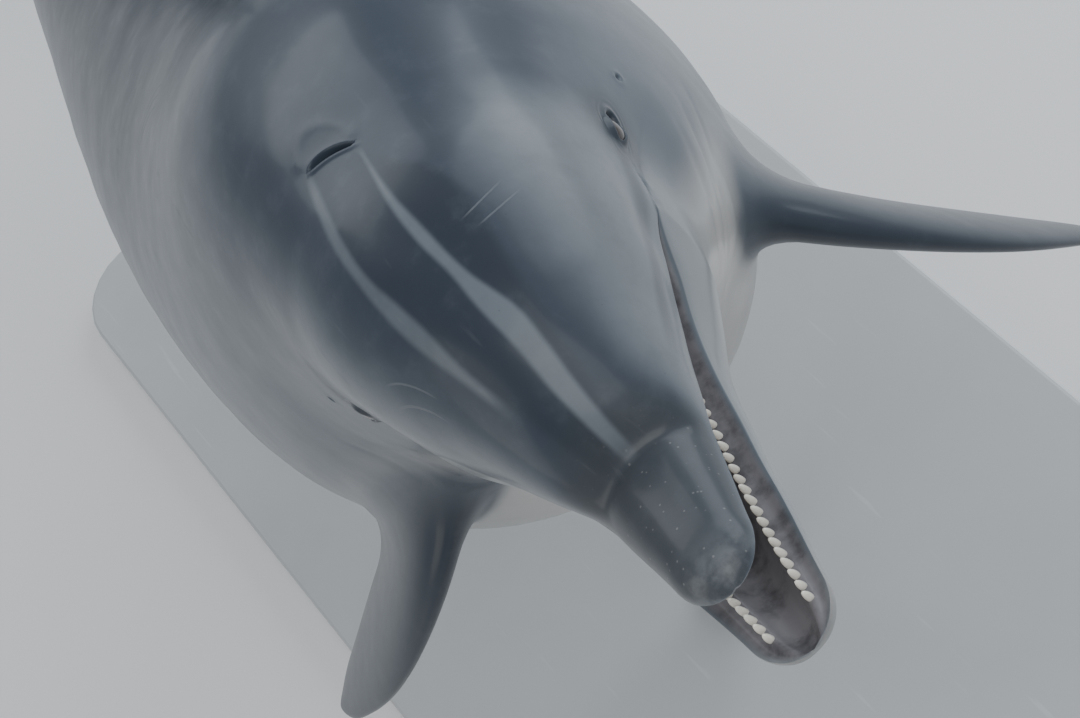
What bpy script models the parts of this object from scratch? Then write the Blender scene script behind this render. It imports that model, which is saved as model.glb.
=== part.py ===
"""Life-size bottlenose dolphin as a still display model on a two-rod stand.

The animal is laid out straight first: x to its left, y from the tip of the upper
jaw back to the tail, z up from the lips. A bend then carries every station along
a curved spine, with the head turned, and the whole animal stands on its base at
z = 0. Lengths are in metres and angles in degrees.
"""

import math

import bmesh
import bpy
import numpy as np
from mathutils import Vector

# Driving dimensions of the animal
BODY_END = 2.68  # where the tail stock ends, inside the flukes
BEAK_LENGTH = 0.110  # tip of the upper jaw to the crease of the melon
GAPE = 0.285  # tip to the corner of the mouth
BITE_OPENING = 9.2  # how far the lower jaw hangs open
JAW_HINGE = (0.335, -0.012)  # station and height of the jaw joint
CHIN_LEAD = 0.012  # the lower jaw is this much the longer
MELON_RISE = 0.19  # length over which the melon reaches its full height
MELON_LIFT = 0.38  # height of the melon's widest part, as a share of its top
CREASE = 12.0  # how sharply the melon meets the beak
JAW_TIP_ROUND, BEAK_TIP_ROUND = 0.030, 0.035  # lengths over which the tips reach their full section
HEAD_END = 0.44
SEGMENT_CUTS = (0.44, 0.84, 1.46, 2.06, BODY_END)
GAP = 0.0003  # clearance between neighbouring solids
RING_HALF = 12  # facets over the back, and as many under the belly
MOUTH_CELLS = 8  # facets across the palate and across the floor

# Heights and half widths by station, read by a smooth curve
BACK = ((0.08, 0.150), (0.20, 0.158), (0.30, 0.166), (0.36, 0.174), (0.45, 0.192), (0.60, 0.222),
        (0.80, 0.249), (1.00, 0.261), (1.20, 0.259), (1.45, 0.235), (1.70, 0.192), (1.95, 0.145),
        (2.20, 0.101), (2.38, 0.071), (2.50, 0.052), (2.60, 0.033), (2.70, 0.013))
BELLY = ((0.0, -0.020), (0.03, -0.027), (0.06, -0.036), (0.10, -0.047), (0.15, -0.062), (0.20, -0.079),
         (0.26, -0.101), (0.33, -0.131), (0.42, -0.169), (0.55, -0.215), (0.75, -0.256), (0.95, -0.272),
         (1.15, -0.270), (1.40, -0.245), (1.65, -0.195), (1.90, -0.138), (2.15, -0.086), (2.38, -0.048),
         (2.50, -0.032), (2.60, -0.016), (2.70, -0.001))
SIDE = ((0.10, 0.014), (0.11, 0.027), (0.12, 0.037), (0.14, 0.050), (0.18, 0.067), (0.22, 0.085),
        (0.28, 0.104), (0.34, 0.1225), (0.42, 0.148), (0.55, 0.186), (0.75, 0.226), (0.95, 0.244),
        (1.15, 0.245), (1.40, 0.222), (1.65, 0.178), (1.90, 0.128), (2.15, 0.083), (2.38, 0.051),
        (2.50, 0.038), (2.60, 0.024), (2.70, 0.009))
WIDEST = ((0.0, 0.0), (0.05, -0.004), (0.10, -0.009), (0.15, -0.011), (0.20, -0.006), (0.25, 0.008),
          (GAPE, 0.020), (0.34, 0.012), (0.45, -0.006), (0.60, -0.016), (1.00, -0.020), (1.50, -0.012),
          (2.00, 0.002), (2.70, 0.006))
LIP = ((0.0, 0.0255), (0.035, 0.0282), (0.06, 0.0318), (0.10, 0.0380), (0.15, 0.0455), (0.20, 0.0605),
       (0.25, 0.0875), (GAPE, 0.104), (0.36, 0.122))
LOWER_LIP_SHARE = ((0.0, 1.03), (0.09, 1.06), (0.16, 1.02), (0.22, 0.925), (GAPE, 1.0))
BEAK_TOP = ((0.0, 0.017), (0.03, 0.024), (0.06, 0.029), (0.10, 0.036), (0.20, 0.048), (0.36, 0.060))
SQUARENESS = ((0.0, 2.25), (0.30, 2.15), (0.60, 2.1), (1.50, 2.05), (2.00, 1.85), (2.40, 1.65), (2.70, 1.7))

# The spine: how far it points up, and how the head is turned and tilted on it
NOSE_UP = ((-0.2, 18.5), (0.34, 18.5), (0.64, 48.5), (0.80, 42.5), (1.00, 30.0), (1.50, 12.0), (2.00, 3.0),
           (2.45, -4.0), (2.85, -10.0))
TURN_LEFT = ((-0.2, -6.5), (0.34, -6.5), (0.64, 0.0), (2.85, 0.0))
HEAD_TILT = ((-0.2, -12.0), (0.34, -12.0), (0.64, 0.0), (2.85, 0.0))
ANCHOR_STATION = 1.12
ANCHOR_HEIGHT = 0.70

STATIONS_HEAD = (0.0, 0.003, 0.009, 0.02, 0.036, 0.056, 0.080, 0.100, 0.108, 0.113, 0.121, 0.134, 0.152,
                 0.178, 0.21, 0.245, 0.268, GAPE, 0.31, 0.35, 0.40)
STATIONS_BODY = (0.49, 0.55, 0.61, 0.67, 0.75, 0.93, 1.03, 1.14, 1.25, 1.36, 1.57, 1.68, 1.80, 1.93,
                 2.18, 2.30, 2.42, 2.52, 2.60)

# Fins, in their own planes: how the front and rear edges run out along the span
FLIPPER_SPAN = 0.365
FLIPPER_FRONT = ((-0.3, 0.006), (0.0, 0.0), (0.15, 0.002), (0.30, 0.012), (0.50, 0.037), (0.70, 0.077),
                 (0.85, 0.117), (0.95, 0.151), (1.0, 0.176))
FLIPPER_REAR = ((-0.3, 0.178), (0.0, 0.152), (0.12, 0.140), (0.25, 0.139), (0.40, 0.148), (0.60, 0.165),
                (0.80, 0.181), (0.93, 0.189), (1.0, 0.187))
FLIPPER_THICK = ((-0.3, 0.046), (0.0, 0.040), (0.3, 0.029), (0.6, 0.019), (0.85, 0.011), (1.0, 0.006))
FLIPPER_STATION = 0.52
FLIPPER_ROOT = (0.156, -0.158)
FLIPPER_INSIDE = -0.25  # the share of the span at which the hidden root ends
FLIPPER_CARRIER = 0.60  # station that carries both flippers
# How each flipper is held: its span and chord directions as outward, back and up shares
FLIPPER_HOLD = {
    "left": {"span": (0.60, 0.235, -0.765), "chord": (0.045, 0.945, 0.325)},
    "right": {"span": (0.65, 0.573, -0.50), "chord": (-0.28, 0.79, 0.545)},
}
DORSAL_HEIGHT = 0.262
DORSAL_FOOT = 0.243  # level of the fin's root line above the lips' level
DORSAL_INSIDE = -0.25
DORSAL_CARRIER = 1.36
DORSAL_FRONT = ((-0.3, 1.090), (0.0, 1.180), (0.2, 1.244), (0.4, 1.304), (0.6, 1.364), (0.8, 1.434),
                (0.92, 1.489), (1.0, 1.540))
DORSAL_REAR = ((-0.3, 1.640), (0.0, 1.565), (0.2, 1.493), (0.4, 1.463), (0.6, 1.464), (0.8, 1.494),
               (0.92, 1.528), (1.0, 1.549))
DORSAL_THICK = ((-0.3, 0.060), (0.0, 0.050), (0.3, 0.034), (0.7, 0.019), (1.0, 0.007))
FLUKE_SPAN = 0.350
FLUKE_FRONT = ((0.0, 2.475), (0.12, 2.525), (0.3, 2.580), (0.5, 2.640), (0.7, 2.706), (0.85, 2.762),
               (0.95, 2.804), (1.0, 2.832))
FLUKE_REAR = ((0.0, 2.722), (0.05, 2.748), (0.12, 2.766), (0.25, 2.776), (0.4, 2.782), (0.6, 2.793),
              (0.8, 2.812), (0.93, 2.832), (1.0, 2.840))
FLUKE_THICK = ((0.0, 0.052), (0.15, 0.040), (0.4, 0.024), (0.75, 0.013), (1.0, 0.006))
FLUKE_LEVEL = 0.012
FLUKE_DROOP = 0.03
FLUKE_CARRIER = 2.60
FIN_SECTIONS = (0.0, 0.1, 0.22, 0.36, 0.5, 0.64, 0.77, 0.87, 0.94, 0.98, 1.0)
FIN_SIDES = 12
FIN_FULLNESS, FIN_TAPER, FIN_EDGE = 1.27, 0.45, 0.0009  # shape of a section, and its least half thickness

# Colours, as shares of red, green and blue
SKIN_COLOUR = (0.16, 0.19, 0.23)
EYE_COLOUR = (0.03, 0.02, 0.015)
TONGUE_COLOUR = (0.55, 0.36, 0.36)
PAINT_COLOUR = (0.42, 0.43, 0.44)
STEEL_COLOUR = (0.58, 0.59, 0.60)

# Teeth, tongue, eyes and blowhole
TEETH_PER_ROW = 24
TEETH_FROM, TEETH_TO = 0.030, 0.225
TOOTH_RADIUS, TOOTH_HEIGHT, TOOTH_SINK = 0.0034, 0.0095, 0.004
TOOTH_LEAN = 0.10  # how far a tooth leans outward for each unit of height
REAR_TOOTH_LOSS = 0.45  # the hindmost teeth are this much the shorter
GUM_INSET, GUM_STEP = 0.0175, 0.0015
GUM_INSET_SHARE, GUM_STEP_SHARE = 0.46, 0.1  # at most these shares of the jaw's half width
PALATE_SHARE, FLOOR_SHARE = 0.30, 0.42  # depth of the hollows as shares of the beak's and the jaw's height
TONGUE_FROM, TONGUE_TO, TONGUE_SIDES = 0.105, 0.262, 12
TONGUE_WIDTH, TONGUE_LEVEL, TONGUE_THICK = 0.58, 0.50, 0.010
EYE_STATION, EYE_HEIGHT, EYE_DEPTH, EYE_RADIUS = 0.338, 0.040, 0.106, 0.0155
EYE_FLATTEN = 0.92
HEAD_CARRIER = 0.20  # station that carries the rigid pieces of the head
BLOWHOLE_STATION, BLOWHOLE_OFFSET = 0.347, -0.0035
BLOWHOLE_WIDTH, BLOWHOLE_OPEN, BLOWHOLE_SKEW = 0.0325, 0.006, 0.53
BLOWHOLE_BOW, BLOWHOLE_DEPTH = 0.004, 0.012

# Stand
BASE_SIZE = (0.78, 1.70, 0.030)
BASE_CENTRE_Y = 0.0
ROD_RADIUS = 0.019
ROD_PLACES = (-0.20, 0.50)
COLLAR_RADIUS, COLLAR_HEIGHT = 0.050, 0.022
BASE_CORNER, BASE_EASE = 0.09, 0.004


def smooth_curve(knots):
    """A natural cubic through (place, value) knots, as a function of place."""
    x, y = (np.array(column, float) for column in zip(*knots))
    count, step, rise = len(x), np.diff(x), np.diff(y)
    system, right = np.eye(count), np.zeros(count)
    for i in range(1, count - 1):
        system[i, i - 1:i + 2] = step[i - 1], 2 * (step[i - 1] + step[i]), step[i]
        right[i] = 6 * (rise[i] / step[i] - rise[i - 1] / step[i - 1])
    bend = np.linalg.solve(system, right)

    def value(at):
        at = np.clip(np.asarray(at, float), x[0], x[-1])
        i = np.clip(np.searchsorted(x, at) - 1, 0, count - 2)
        a, b, h = x[i + 1] - at, at - x[i], step[i]
        return ((bend[i] * a**3 + bend[i + 1] * b**3) / (6 * h)
                + (y[i] / h - bend[i] * h / 6) * a + (y[i + 1] / h - bend[i + 1] * h / 6) * b)

    return value


def ramp(at, start, end):
    """0 before start, 1 after end, and a smooth step between."""
    t = np.clip((np.asarray(at, float) - start) / (end - start), 0, 1)
    return t * t * (3 - 2 * t)


def round_nose(at, length):
    """How a form swells from its front end to full size over length, as a quarter ellipse."""
    t = np.clip(np.asarray(at, float) / length, 0, 1)
    return np.sqrt(np.clip(1 - (1 - t) ** 2, 0, 1))


back, belly, side, widest = map(smooth_curve, (BACK, BELLY, SIDE, WIDEST))
lip, beak_top, squareness = map(smooth_curve, (LIP, BEAK_TOP, SQUARENESS))
lower_lip_share = smooth_curve(LOWER_LIP_SHARE)


def angle_curve(knots):
    """An angle along the spine, eased between its knots, in radians."""
    places, angles = zip(*knots)

    def value(at):
        at = np.asarray(at, float)
        total = np.full(at.shape, float(angles[0]))
        for i in range(1, len(knots)):
            share = np.clip((at - places[i - 1]) / (places[i] - places[i - 1]), 0, 1)
            if i == 2:
                share = ramp(at, places[i - 1], places[i])
            total = total + (angles[i] - angles[i - 1]) * share
        return np.radians(total)

    return value


nose_up, turn_left, head_tilt = map(angle_curve, (NOSE_UP, TURN_LEFT, HEAD_TILT))


def spine_axes(at):
    """The animal's left, back and up directions in the room, at each station."""
    up, turn, tilt = nose_up(at), turn_left(at), head_tilt(at)
    one, nil = np.ones_like(up), np.zeros_like(up)

    def rows(*cells):
        return np.stack(cells, -1).reshape(*up.shape, 3, 3)

    about_z = rows(np.cos(turn), -np.sin(turn), nil, np.sin(turn), np.cos(turn), nil, nil, nil, one)
    about_x = rows(one, nil, nil, nil, np.cos(up), np.sin(up), nil, -np.sin(up), np.cos(up))
    about_y = rows(np.cos(tilt), nil, np.sin(tilt), nil, one, nil, -np.sin(tilt), nil, np.cos(tilt))
    return about_z @ about_x @ about_y


def spine_points():
    """Stations 2 mm apart and where the spine passes at each, with the anchor over the origin."""
    step = 0.002
    stations = np.arange(-0.2, 2.9, step)
    moves = spine_axes(stations[:-1] + step / 2)[:, :, 1] * step
    places = np.vstack([np.zeros(3), np.cumsum(moves, axis=0)])
    anchor = [np.interp(ANCHOR_STATION, stations, places[:, k]) for k in range(3)]
    return stations, places - anchor + [0, 0, ANCHOR_HEIGHT]


SPINE_STATIONS, SPINE_PLACES = spine_points()


def posed(points, station=None):
    """Straight-laid points carried onto the spine: each at its own station, or all rigidly at one."""
    points = np.asarray(points, float).reshape(-1, 3)
    at = points[:, 1] if station is None else np.full(len(points), float(station))
    place = np.stack([np.interp(at, SPINE_STATIONS, SPINE_PLACES[:, k]) for k in range(3)], 1)
    local = np.stack([points[:, 0], points[:, 1] - at, points[:, 2]], 1)
    return place + np.einsum("nij,nj->ni", spine_axes(at), local)


def superellipse(angle, width, height, power):
    """Polar radius of a superellipse arch."""
    cos, sin = np.abs(np.cos(angle)), np.abs(np.sin(angle))
    tiny = 1e-9
    total = (cos / np.maximum(width, tiny)) ** power + (sin / np.maximum(height, tiny)) ** power
    return total ** (-1 / power)


def raised_ellipse(angle, width, top, lift):
    """Polar radius of an ellipse whose centre stands at a height lift over the pole."""
    cos, sin, height = np.cos(angle), np.sin(angle), top - lift
    a = (cos / width) ** 2 + (sin / height) ** 2
    b = -2 * sin * lift / height**2
    c = (lift / height) ** 2 - 1
    return (-b + np.sqrt(np.maximum(b * b - 4 * a * c, 0))) / (2 * a)


def upper_radius(station, angle):
    """From the widest level out to the skin over the back, the melon and the upper jaw."""
    tip = round_nose(station, BEAK_TIP_ROUND)
    beak = superellipse(angle, lip(station) * tip, beak_top(station) * tip, squareness(station))
    if station <= BEAK_LENGTH - 0.003:
        return beak
    swell = round_nose(station - (BEAK_LENGTH - 0.003), MELON_RISE)
    top = (back(station) - widest(station)) * swell
    trunk = superellipse(angle, side(station), top, squareness(station))
    melon = raised_ellipse(angle, side(station), top, MELON_LIFT * top)
    over = ramp(station, 0.24, 0.42)
    trunk = melon * (1 - over) + trunk * over
    fade = 1 - ramp(station, 0.24, 0.38)
    return trunk * (1 + fade * (beak / trunk) ** CREASE) ** (1 / CREASE)


def lower_radius(station, angle):
    """From the widest level out to the skin under the chin, the throat and the belly."""
    width = upper_radius(station, 0.0) * lower_lip_share(station)
    depth = (widest(station) - belly(station)) * round_nose(station, JAW_TIP_ROUND)
    return superellipse(angle, width, depth, squareness(station))


def jaw_share(station, angle):
    """How far the skin at a place goes with the lower jaw: all at the lip, none over the back."""
    below = np.clip(np.sin(angle), -1, 1) * -1
    along = 1 - ramp(station, GAPE - 0.035, 0.43)
    low = 0.5 + 0.5 * ramp(below, 0.0, 0.6)
    front = 1 - ramp(station, GAPE - 0.04, GAPE)
    return np.where(below > -1e-9, along * (front + (1 - front) * low), 0.0)


def jaw_dropped(points, share):
    """Straight-laid points turned down about the jaw joint by their share of the opening."""
    points = np.asarray(points, float).copy()
    turn = np.radians(BITE_OPENING) * np.asarray(share, float)
    dy, dz = points[..., 1] - JAW_HINGE[0], points[..., 2] - JAW_HINGE[1]
    points[..., 1] = JAW_HINGE[0] + dy * np.cos(turn) - dz * np.sin(turn)
    points[..., 2] = JAW_HINGE[1] + dy * np.sin(turn) + dz * np.cos(turn)
    return points


def chin_lead(station):
    """How far the lower jaw reaches ahead of the upper one at a station."""
    return CHIN_LEAD * (1 - ramp(station, 0.0, GAPE))


def upper_row(station, extra=0.0):
    """One arch over the back, left lip to right lip."""
    angle = np.linspace(0, math.pi, RING_HALF + 1)
    reach = upper_radius(station, angle) + extra
    rows = np.stack([reach * np.cos(angle), np.full_like(angle, station), reach * np.sin(angle)], 1)
    rows[:, 2] += widest(station)
    if station >= GAPE:
        rows[[0, -1]] = jaw_dropped(rows[[0, -1]], jaw_share(station, angle[[0, -1]]))
    return rows


def lower_row(station, extra=0.0):
    """One arch under the belly, right lip to left lip, with the jaw dropped."""
    angle = np.linspace(math.pi, 2 * math.pi, RING_HALF + 1)
    reach = lower_radius(station, angle) + extra
    ahead = station - (chin_lead(station) if station < GAPE else 0)
    rows = np.stack([reach * np.cos(angle), np.full_like(angle, ahead), reach * np.sin(angle)], 1)
    rows[:, 2] += widest(station)
    return jaw_dropped(rows, jaw_share(station, angle))


def gum_inset(half_width):
    """How far inside the lip the gum's ridge lies."""
    return min(GUM_INSET, half_width * GUM_INSET_SHARE)


def mouth_row(station, half_width, depth):
    """Lip rim, gum and hollow from left to right; depth is up for the palate and down for the floor."""
    across = np.linspace(1, -1, MOUTH_CELLS + 1)
    rim = np.arange(MOUTH_CELLS + 1) % MOUTH_CELLS == 0
    gum = np.roll(rim, 1) | np.roll(rim, -1)
    gum &= ~rim
    inner = half_width - gum_inset(half_width)
    x = np.where(rim, half_width, inner) * np.sign(across)
    x = np.where(rim | gum, x, across * inner * 1.1)
    hollow = np.where(rim | gum, 0.0, 1 - (across / 0.75) ** 2 * 0.7)
    step = math.copysign(min(GUM_STEP, half_width * GUM_STEP_SHARE), depth)
    z = np.where(gum, step, 0.0) + hollow * depth
    return np.stack([x, np.full_like(x, station), widest(station) + z], 1)


def palate_row(station):
    """The roof of the mouth, with the upper lip at both ends."""
    width = float(upper_radius(station, 0.0))
    depth = PALATE_SHARE * float(beak_top(station)) * float(round_nose(station, 0.06))
    return mouth_row(station, width, depth)


def floor_depth(station):
    """How deep the floor of the mouth lies under the lower lip at the midline."""
    depth = FLOOR_SHARE * float(widest(station) - belly(station)) * float(round_nose(station, 0.08))
    return depth * (1 - 0.8 * float(ramp(station, 0.2, GAPE)))


def floor_row(station):
    """The floor of the mouth, with the lower lip at both ends, dropped with the jaw."""
    width = float(lower_radius(station, math.pi))
    rows = mouth_row(station, width, -floor_depth(station))
    rows[:, 1] -= chin_lead(station)
    return jaw_dropped(rows, np.full(len(rows), jaw_share(station, math.pi)))


def new_object(name, points, faces, collection):
    """A mesh object from posed points and faces, its normals made to point out."""
    mesh = bpy.data.meshes.new(name)
    mesh.from_pydata([tuple(p) for p in points], [], faces)
    work = bmesh.new()
    work.from_mesh(mesh)
    bmesh.ops.remove_doubles(work, verts=work.verts, dist=1e-6)
    bmesh.ops.recalc_face_normals(work, faces=work.faces)
    work.to_mesh(mesh)
    work.free()
    mesh.validate()
    obj = bpy.data.objects.new(name, mesh)
    collection.objects.link(obj)
    return obj


def stitched(rows, closed_ring=True):
    """Triangles between successive rows of one length, always split the same way."""
    width = len(rows[0])
    faces = []
    for k in range(len(rows) - 1):
        for i in range(width if closed_ring else width - 1):
            a, b = k * width + i, k * width + (i + 1) % width
            faces += [(a, b, b + width), (a, b + width, a + width)]
    return faces


def body_ring(station, extra=0.0):
    """A whole cross-section of the trunk."""
    return np.vstack([upper_row(station, extra)[:-1], lower_row(station, extra)[:-1]])


def trunk_piece(name, start, end, collection, extra=0.0):
    """A closed length of the trunk between two stations."""
    inner = [s for s in (*STATIONS_HEAD, *SEGMENT_CUTS, *STATIONS_BODY) if start + 0.01 < s < end - 0.01]
    stations = [start, *sorted(set(inner)), end]
    rows = [body_ring(s, extra) for s in stations]
    faces = stitched(rows)
    width, last = len(rows[0]), (len(rows) - 1) * len(rows[0])
    faces += [tuple(range(width)), tuple(range(last + width - 1, last - 1, -1))]
    return new_object(name, posed(np.vstack(rows)), faces, collection)


def whole_head(collection):
    """The head as one closed form from the beak to its cut: skin, palate and floor of the mouth."""
    mouth = [s for s in STATIONS_HEAD if s < GAPE]
    rest = [s for s in STATIONS_HEAD if s > GAPE] + [HEAD_END - GAP / 2]
    stations = [*mouth, GAPE, *rest]
    points, faces = [], []

    def add(rows, closed_ring):
        start = sum(map(len, points))
        faces.extend(tuple(start + i for i in face) for face in stitched(rows, closed_ring))
        points.append(np.vstack(rows))

    add([upper_row(s) for s in stations], False)
    add([lower_row(s) for s in stations], False)
    corner_left, corner_right = upper_row(GAPE)[0], upper_row(GAPE)[-1]
    across = np.linspace(0, 1, MOUTH_CELLS + 1)[:, None]
    seam = corner_left * (1 - across) + corner_right * across
    add([*(palate_row(s) for s in mouth), seam], False)
    add([*(floor_row(s) for s in mouth), seam], False)
    ring = body_ring(stations[-1])
    start = sum(map(len, points))
    points.append(ring)
    faces.append(tuple(range(start, start + len(ring))))
    return new_object("head", posed(np.vstack(points)), faces, collection)


def jaw_zone(name, shift, collection):
    """A prism round the lower jaw, between the lips in front and down through the throat behind."""
    profile = []
    for station in (GAPE - 0.001, 0.265, 0.245, 0.22, 0.18, 0.12, 0.05, 0.0):
        upper = np.array([0.0, station, float(widest(station))])
        lower = jaw_dropped(upper, 1.0)
        profile.append((upper[1:] + lower[1:]) / 2)
    profile += [np.array([-0.12, profile[-1][1]]), np.array([-0.12, -0.40]), np.array([0.385, -0.40])]
    outline = [p + np.array([-shift, -shift]) for p in profile]
    wide = 0.30
    points = [(x, p[0], p[1]) for x in (-wide, wide) for p in outline]
    count = len(outline)
    faces = [tuple(range(count)), tuple(range(2 * count - 1, count - 1, -1))]
    faces += [(i, (i + 1) % count, count + (i + 1) % count, count + i) for i in range(count)]
    zone = new_object(name, posed(points, HEAD_CARRIER), faces, collection)
    return helper(zone)


def helper(obj):
    """Marks an object as a cutter, which is not part of the model."""
    obj.hide_render = True
    obj.display_type = "WIRE"
    return obj


def boolean(obj, other, operation):
    """Adds a Boolean modifier."""
    modifier = obj.modifiers.new(operation.title(), "BOOLEAN")
    modifier.operation = operation
    modifier.object = other
    modifier.solver = "EXACT"
    return modifier


def applied(obj):
    """Turns an object's modifiers into its mesh."""
    graph = bpy.context.evaluated_depsgraph_get()
    mesh = bpy.data.meshes.new_from_object(obj.evaluated_get(graph))
    obj.modifiers.clear()
    obj.data = mesh
    return obj


def gum_point(station, lower):
    """Where a tooth of either jaw stands on the left side, straight-laid, with the jaw dropped."""
    if lower:
        width = float(lower_radius(station, math.pi))
        ahead, level = station - chin_lead(station), float(widest(station)) - GUM_STEP
        return jaw_dropped(np.array([width - gum_inset(width), ahead, level]), 1.0)
    width = float(upper_radius(station, 0.0))
    return np.array([width - gum_inset(width), station, float(widest(station)) + GUM_STEP])


def tooth_row(name, lower, collection):
    """All the teeth of one jaw as small cones, evenly spaced along the gum on both sides."""
    work = bmesh.new()
    fine = np.linspace(0.004, TEETH_TO, 400)
    gum = np.array([gum_point(s, lower) for s in fine])
    along = np.concatenate([[0], np.cumsum(np.linalg.norm(np.diff(gum, axis=0), axis=1))])
    first = float(np.interp(TEETH_FROM, fine, along))
    for wanted in np.linspace(first, along[-1], TEETH_PER_ROW):
        station = float(np.interp(wanted, along, fine))
        tall = TOOTH_HEIGHT * (1 - REAR_TOOTH_LOSS * float(ramp(station, 0.12, TEETH_TO)))
        lean = math.radians(BITE_OPENING if lower else 180.0)
        point = gum_point(station, lower)
        for mirror in (1, -1):
            cone = bmesh.ops.create_cone(work, cap_ends=True, segments=6, radius1=TOOTH_RADIUS * 1.15,
                                         radius2=TOOTH_RADIUS * 0.30, depth=tall + TOOTH_SINK)
            for vert in cone["verts"]:
                x, y, z = vert.co
                z += (tall - TOOTH_SINK) / 2
                x += TOOTH_LEAN * max(z, 0.0)
                y, z = y * math.cos(lean) - z * math.sin(lean), y * math.sin(lean) + z * math.cos(lean)
                vert.co = Vector((mirror * (point[0] + x), point[1] + y, point[2] + z))
    for vert in work.verts:
        vert.co = Vector(posed([tuple(vert.co)], HEAD_CARRIER)[0])
    work.normal_update()
    bmesh.ops.recalc_face_normals(work, faces=work.faces)
    mesh = bpy.data.meshes.new(name)
    work.to_mesh(mesh)
    work.free()
    teeth = bpy.data.objects.new(name, mesh)
    collection.objects.link(teeth)
    return helper(teeth)


def fin_section(front, rear, thick):
    """One fin section: along the chord and across it, round in front and thin behind."""
    angle = np.linspace(0, 2 * math.pi, FIN_SIDES, endpoint=False)
    share = (1 - np.cos(angle)) / 2
    body = FIN_FULLNESS * np.sin(angle) * (1 - share) ** FIN_TAPER
    return front + (rear - front) * share, thick / 2 * body + FIN_EDGE * np.sin(angle)


def fin(name, spans, edges, place, collection):
    """A fin lofted from its root to its tip; place(span, chord, across) gives straight-laid points."""
    front, rear, thick = (smooth_curve(k) for k in edges)
    rows = []
    for span in spans:
        chord, across = fin_section(float(front(span)), float(rear(span)), float(thick(span)))
        rows.append(place(span, chord, across))
    faces = stitched(rows)
    width, last = len(rows[0]), (len(rows) - 1) * len(rows[0])
    faces += [tuple(range(width)), tuple(range(last + width - 1, last - 1, -1))]
    return new_object(name, np.vstack(rows), faces, collection)


def flipper(name, which, collection):
    """A flipper held out and down from the chest."""
    mirror = 1 if which == "left" else -1
    span_way = np.array(FLIPPER_HOLD[which]["span"], float)
    span_way /= np.linalg.norm(span_way)
    chord_way = np.array(FLIPPER_HOLD[which]["chord"], float)
    chord_way -= span_way * (chord_way @ span_way)
    chord_way /= np.linalg.norm(chord_way)
    across_way = np.cross(span_way, chord_way)
    root = np.array([FLIPPER_ROOT[0], FLIPPER_STATION, FLIPPER_ROOT[1]])

    def place(span, chord, across):
        points = root + span_way * span * FLIPPER_SPAN
        points = points + np.outer(chord, chord_way) + np.outer(across, across_way)
        points[:, 0] *= mirror
        return posed(points, FLIPPER_CARRIER)

    spans = (FLIPPER_INSIDE, *FIN_SECTIONS)
    return fin(name, spans, (FLIPPER_FRONT, FLIPPER_REAR, FLIPPER_THICK), place, collection)


def dorsal_fin(collection):
    """The fin of the back, swept to the rear."""

    def place(span, chord, across):
        points = np.stack([across, chord, np.full_like(chord, DORSAL_FOOT + span * DORSAL_HEIGHT)], 1)
        return posed(points, DORSAL_CARRIER)

    spans = (DORSAL_INSIDE, *FIN_SECTIONS)
    return fin("dorsal_fin", spans, (DORSAL_FRONT, DORSAL_REAR, DORSAL_THICK), place, collection)


def fluke(name, mirror, collection):
    """One half of the tail."""

    def place(span, chord, across):
        level = FLUKE_LEVEL - FLUKE_DROOP * span**2
        x = np.full_like(chord, mirror * (GAP / 2 + span * FLUKE_SPAN))
        return posed(np.stack([x, chord, level + across], 1), FLUKE_CARRIER)

    spans = (0.0, 0.05, *FIN_SECTIONS[1:])
    return fin(name, spans, (FLUKE_FRONT, FLUKE_REAR, FLUKE_THICK), place, collection)


def tongue(collection):
    """A broad flat tongue lying in the floor of the mouth."""
    angle = np.linspace(0, 2 * math.pi, TONGUE_SIDES, endpoint=False)
    rows = []
    for share in (0.02, 0.10, 0.28, 0.5, 0.72, 0.90, 0.99):
        station = TONGUE_FROM + (TONGUE_TO - TONGUE_FROM) * share
        swell = math.sqrt(max(1 - abs(2 * share - 1) ** 3, 0.0))
        room = float(lower_radius(station, math.pi)) - GUM_INSET
        floor = floor_depth(station)
        x = room * TONGUE_WIDTH * swell * np.cos(angle)
        thick = min(TONGUE_THICK, floor * 0.26) * swell
        z = widest(station) - floor * TONGUE_LEVEL + np.sin(angle) * thick
        ring = np.stack([x, np.full_like(x, station - chin_lead(station)), z], 1)
        rows.append(jaw_dropped(ring, np.ones(TONGUE_SIDES)))
    faces = stitched(rows)
    last = (len(rows) - 1) * TONGUE_SIDES
    faces += [tuple(range(TONGUE_SIDES)), tuple(range(last + TONGUE_SIDES - 1, last - 1, -1))]
    return new_object("tongue", posed(np.vstack(rows), HEAD_CARRIER), faces, collection)


def eye(name, mirror, collection, radius=EYE_RADIUS):
    """An eyeball, a little flattened, deep in the side of the head."""
    mesh = bpy.data.meshes.new(name)
    work = bmesh.new()
    bmesh.ops.create_uvsphere(work, u_segments=14, v_segments=9, radius=radius)
    for vert in work.verts:
        x, y, z = vert.co
        spot = (mirror * (EYE_DEPTH + x * EYE_FLATTEN), EYE_STATION + y, EYE_HEIGHT + z)
        vert.co = Vector(posed([spot], HEAD_CARRIER)[0])
    work.normal_update()
    bmesh.ops.recalc_face_normals(work, faces=work.faces)
    work.to_mesh(mesh)
    work.free()
    obj = bpy.data.objects.new(name, mesh)
    collection.objects.link(obj)
    return obj


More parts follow.
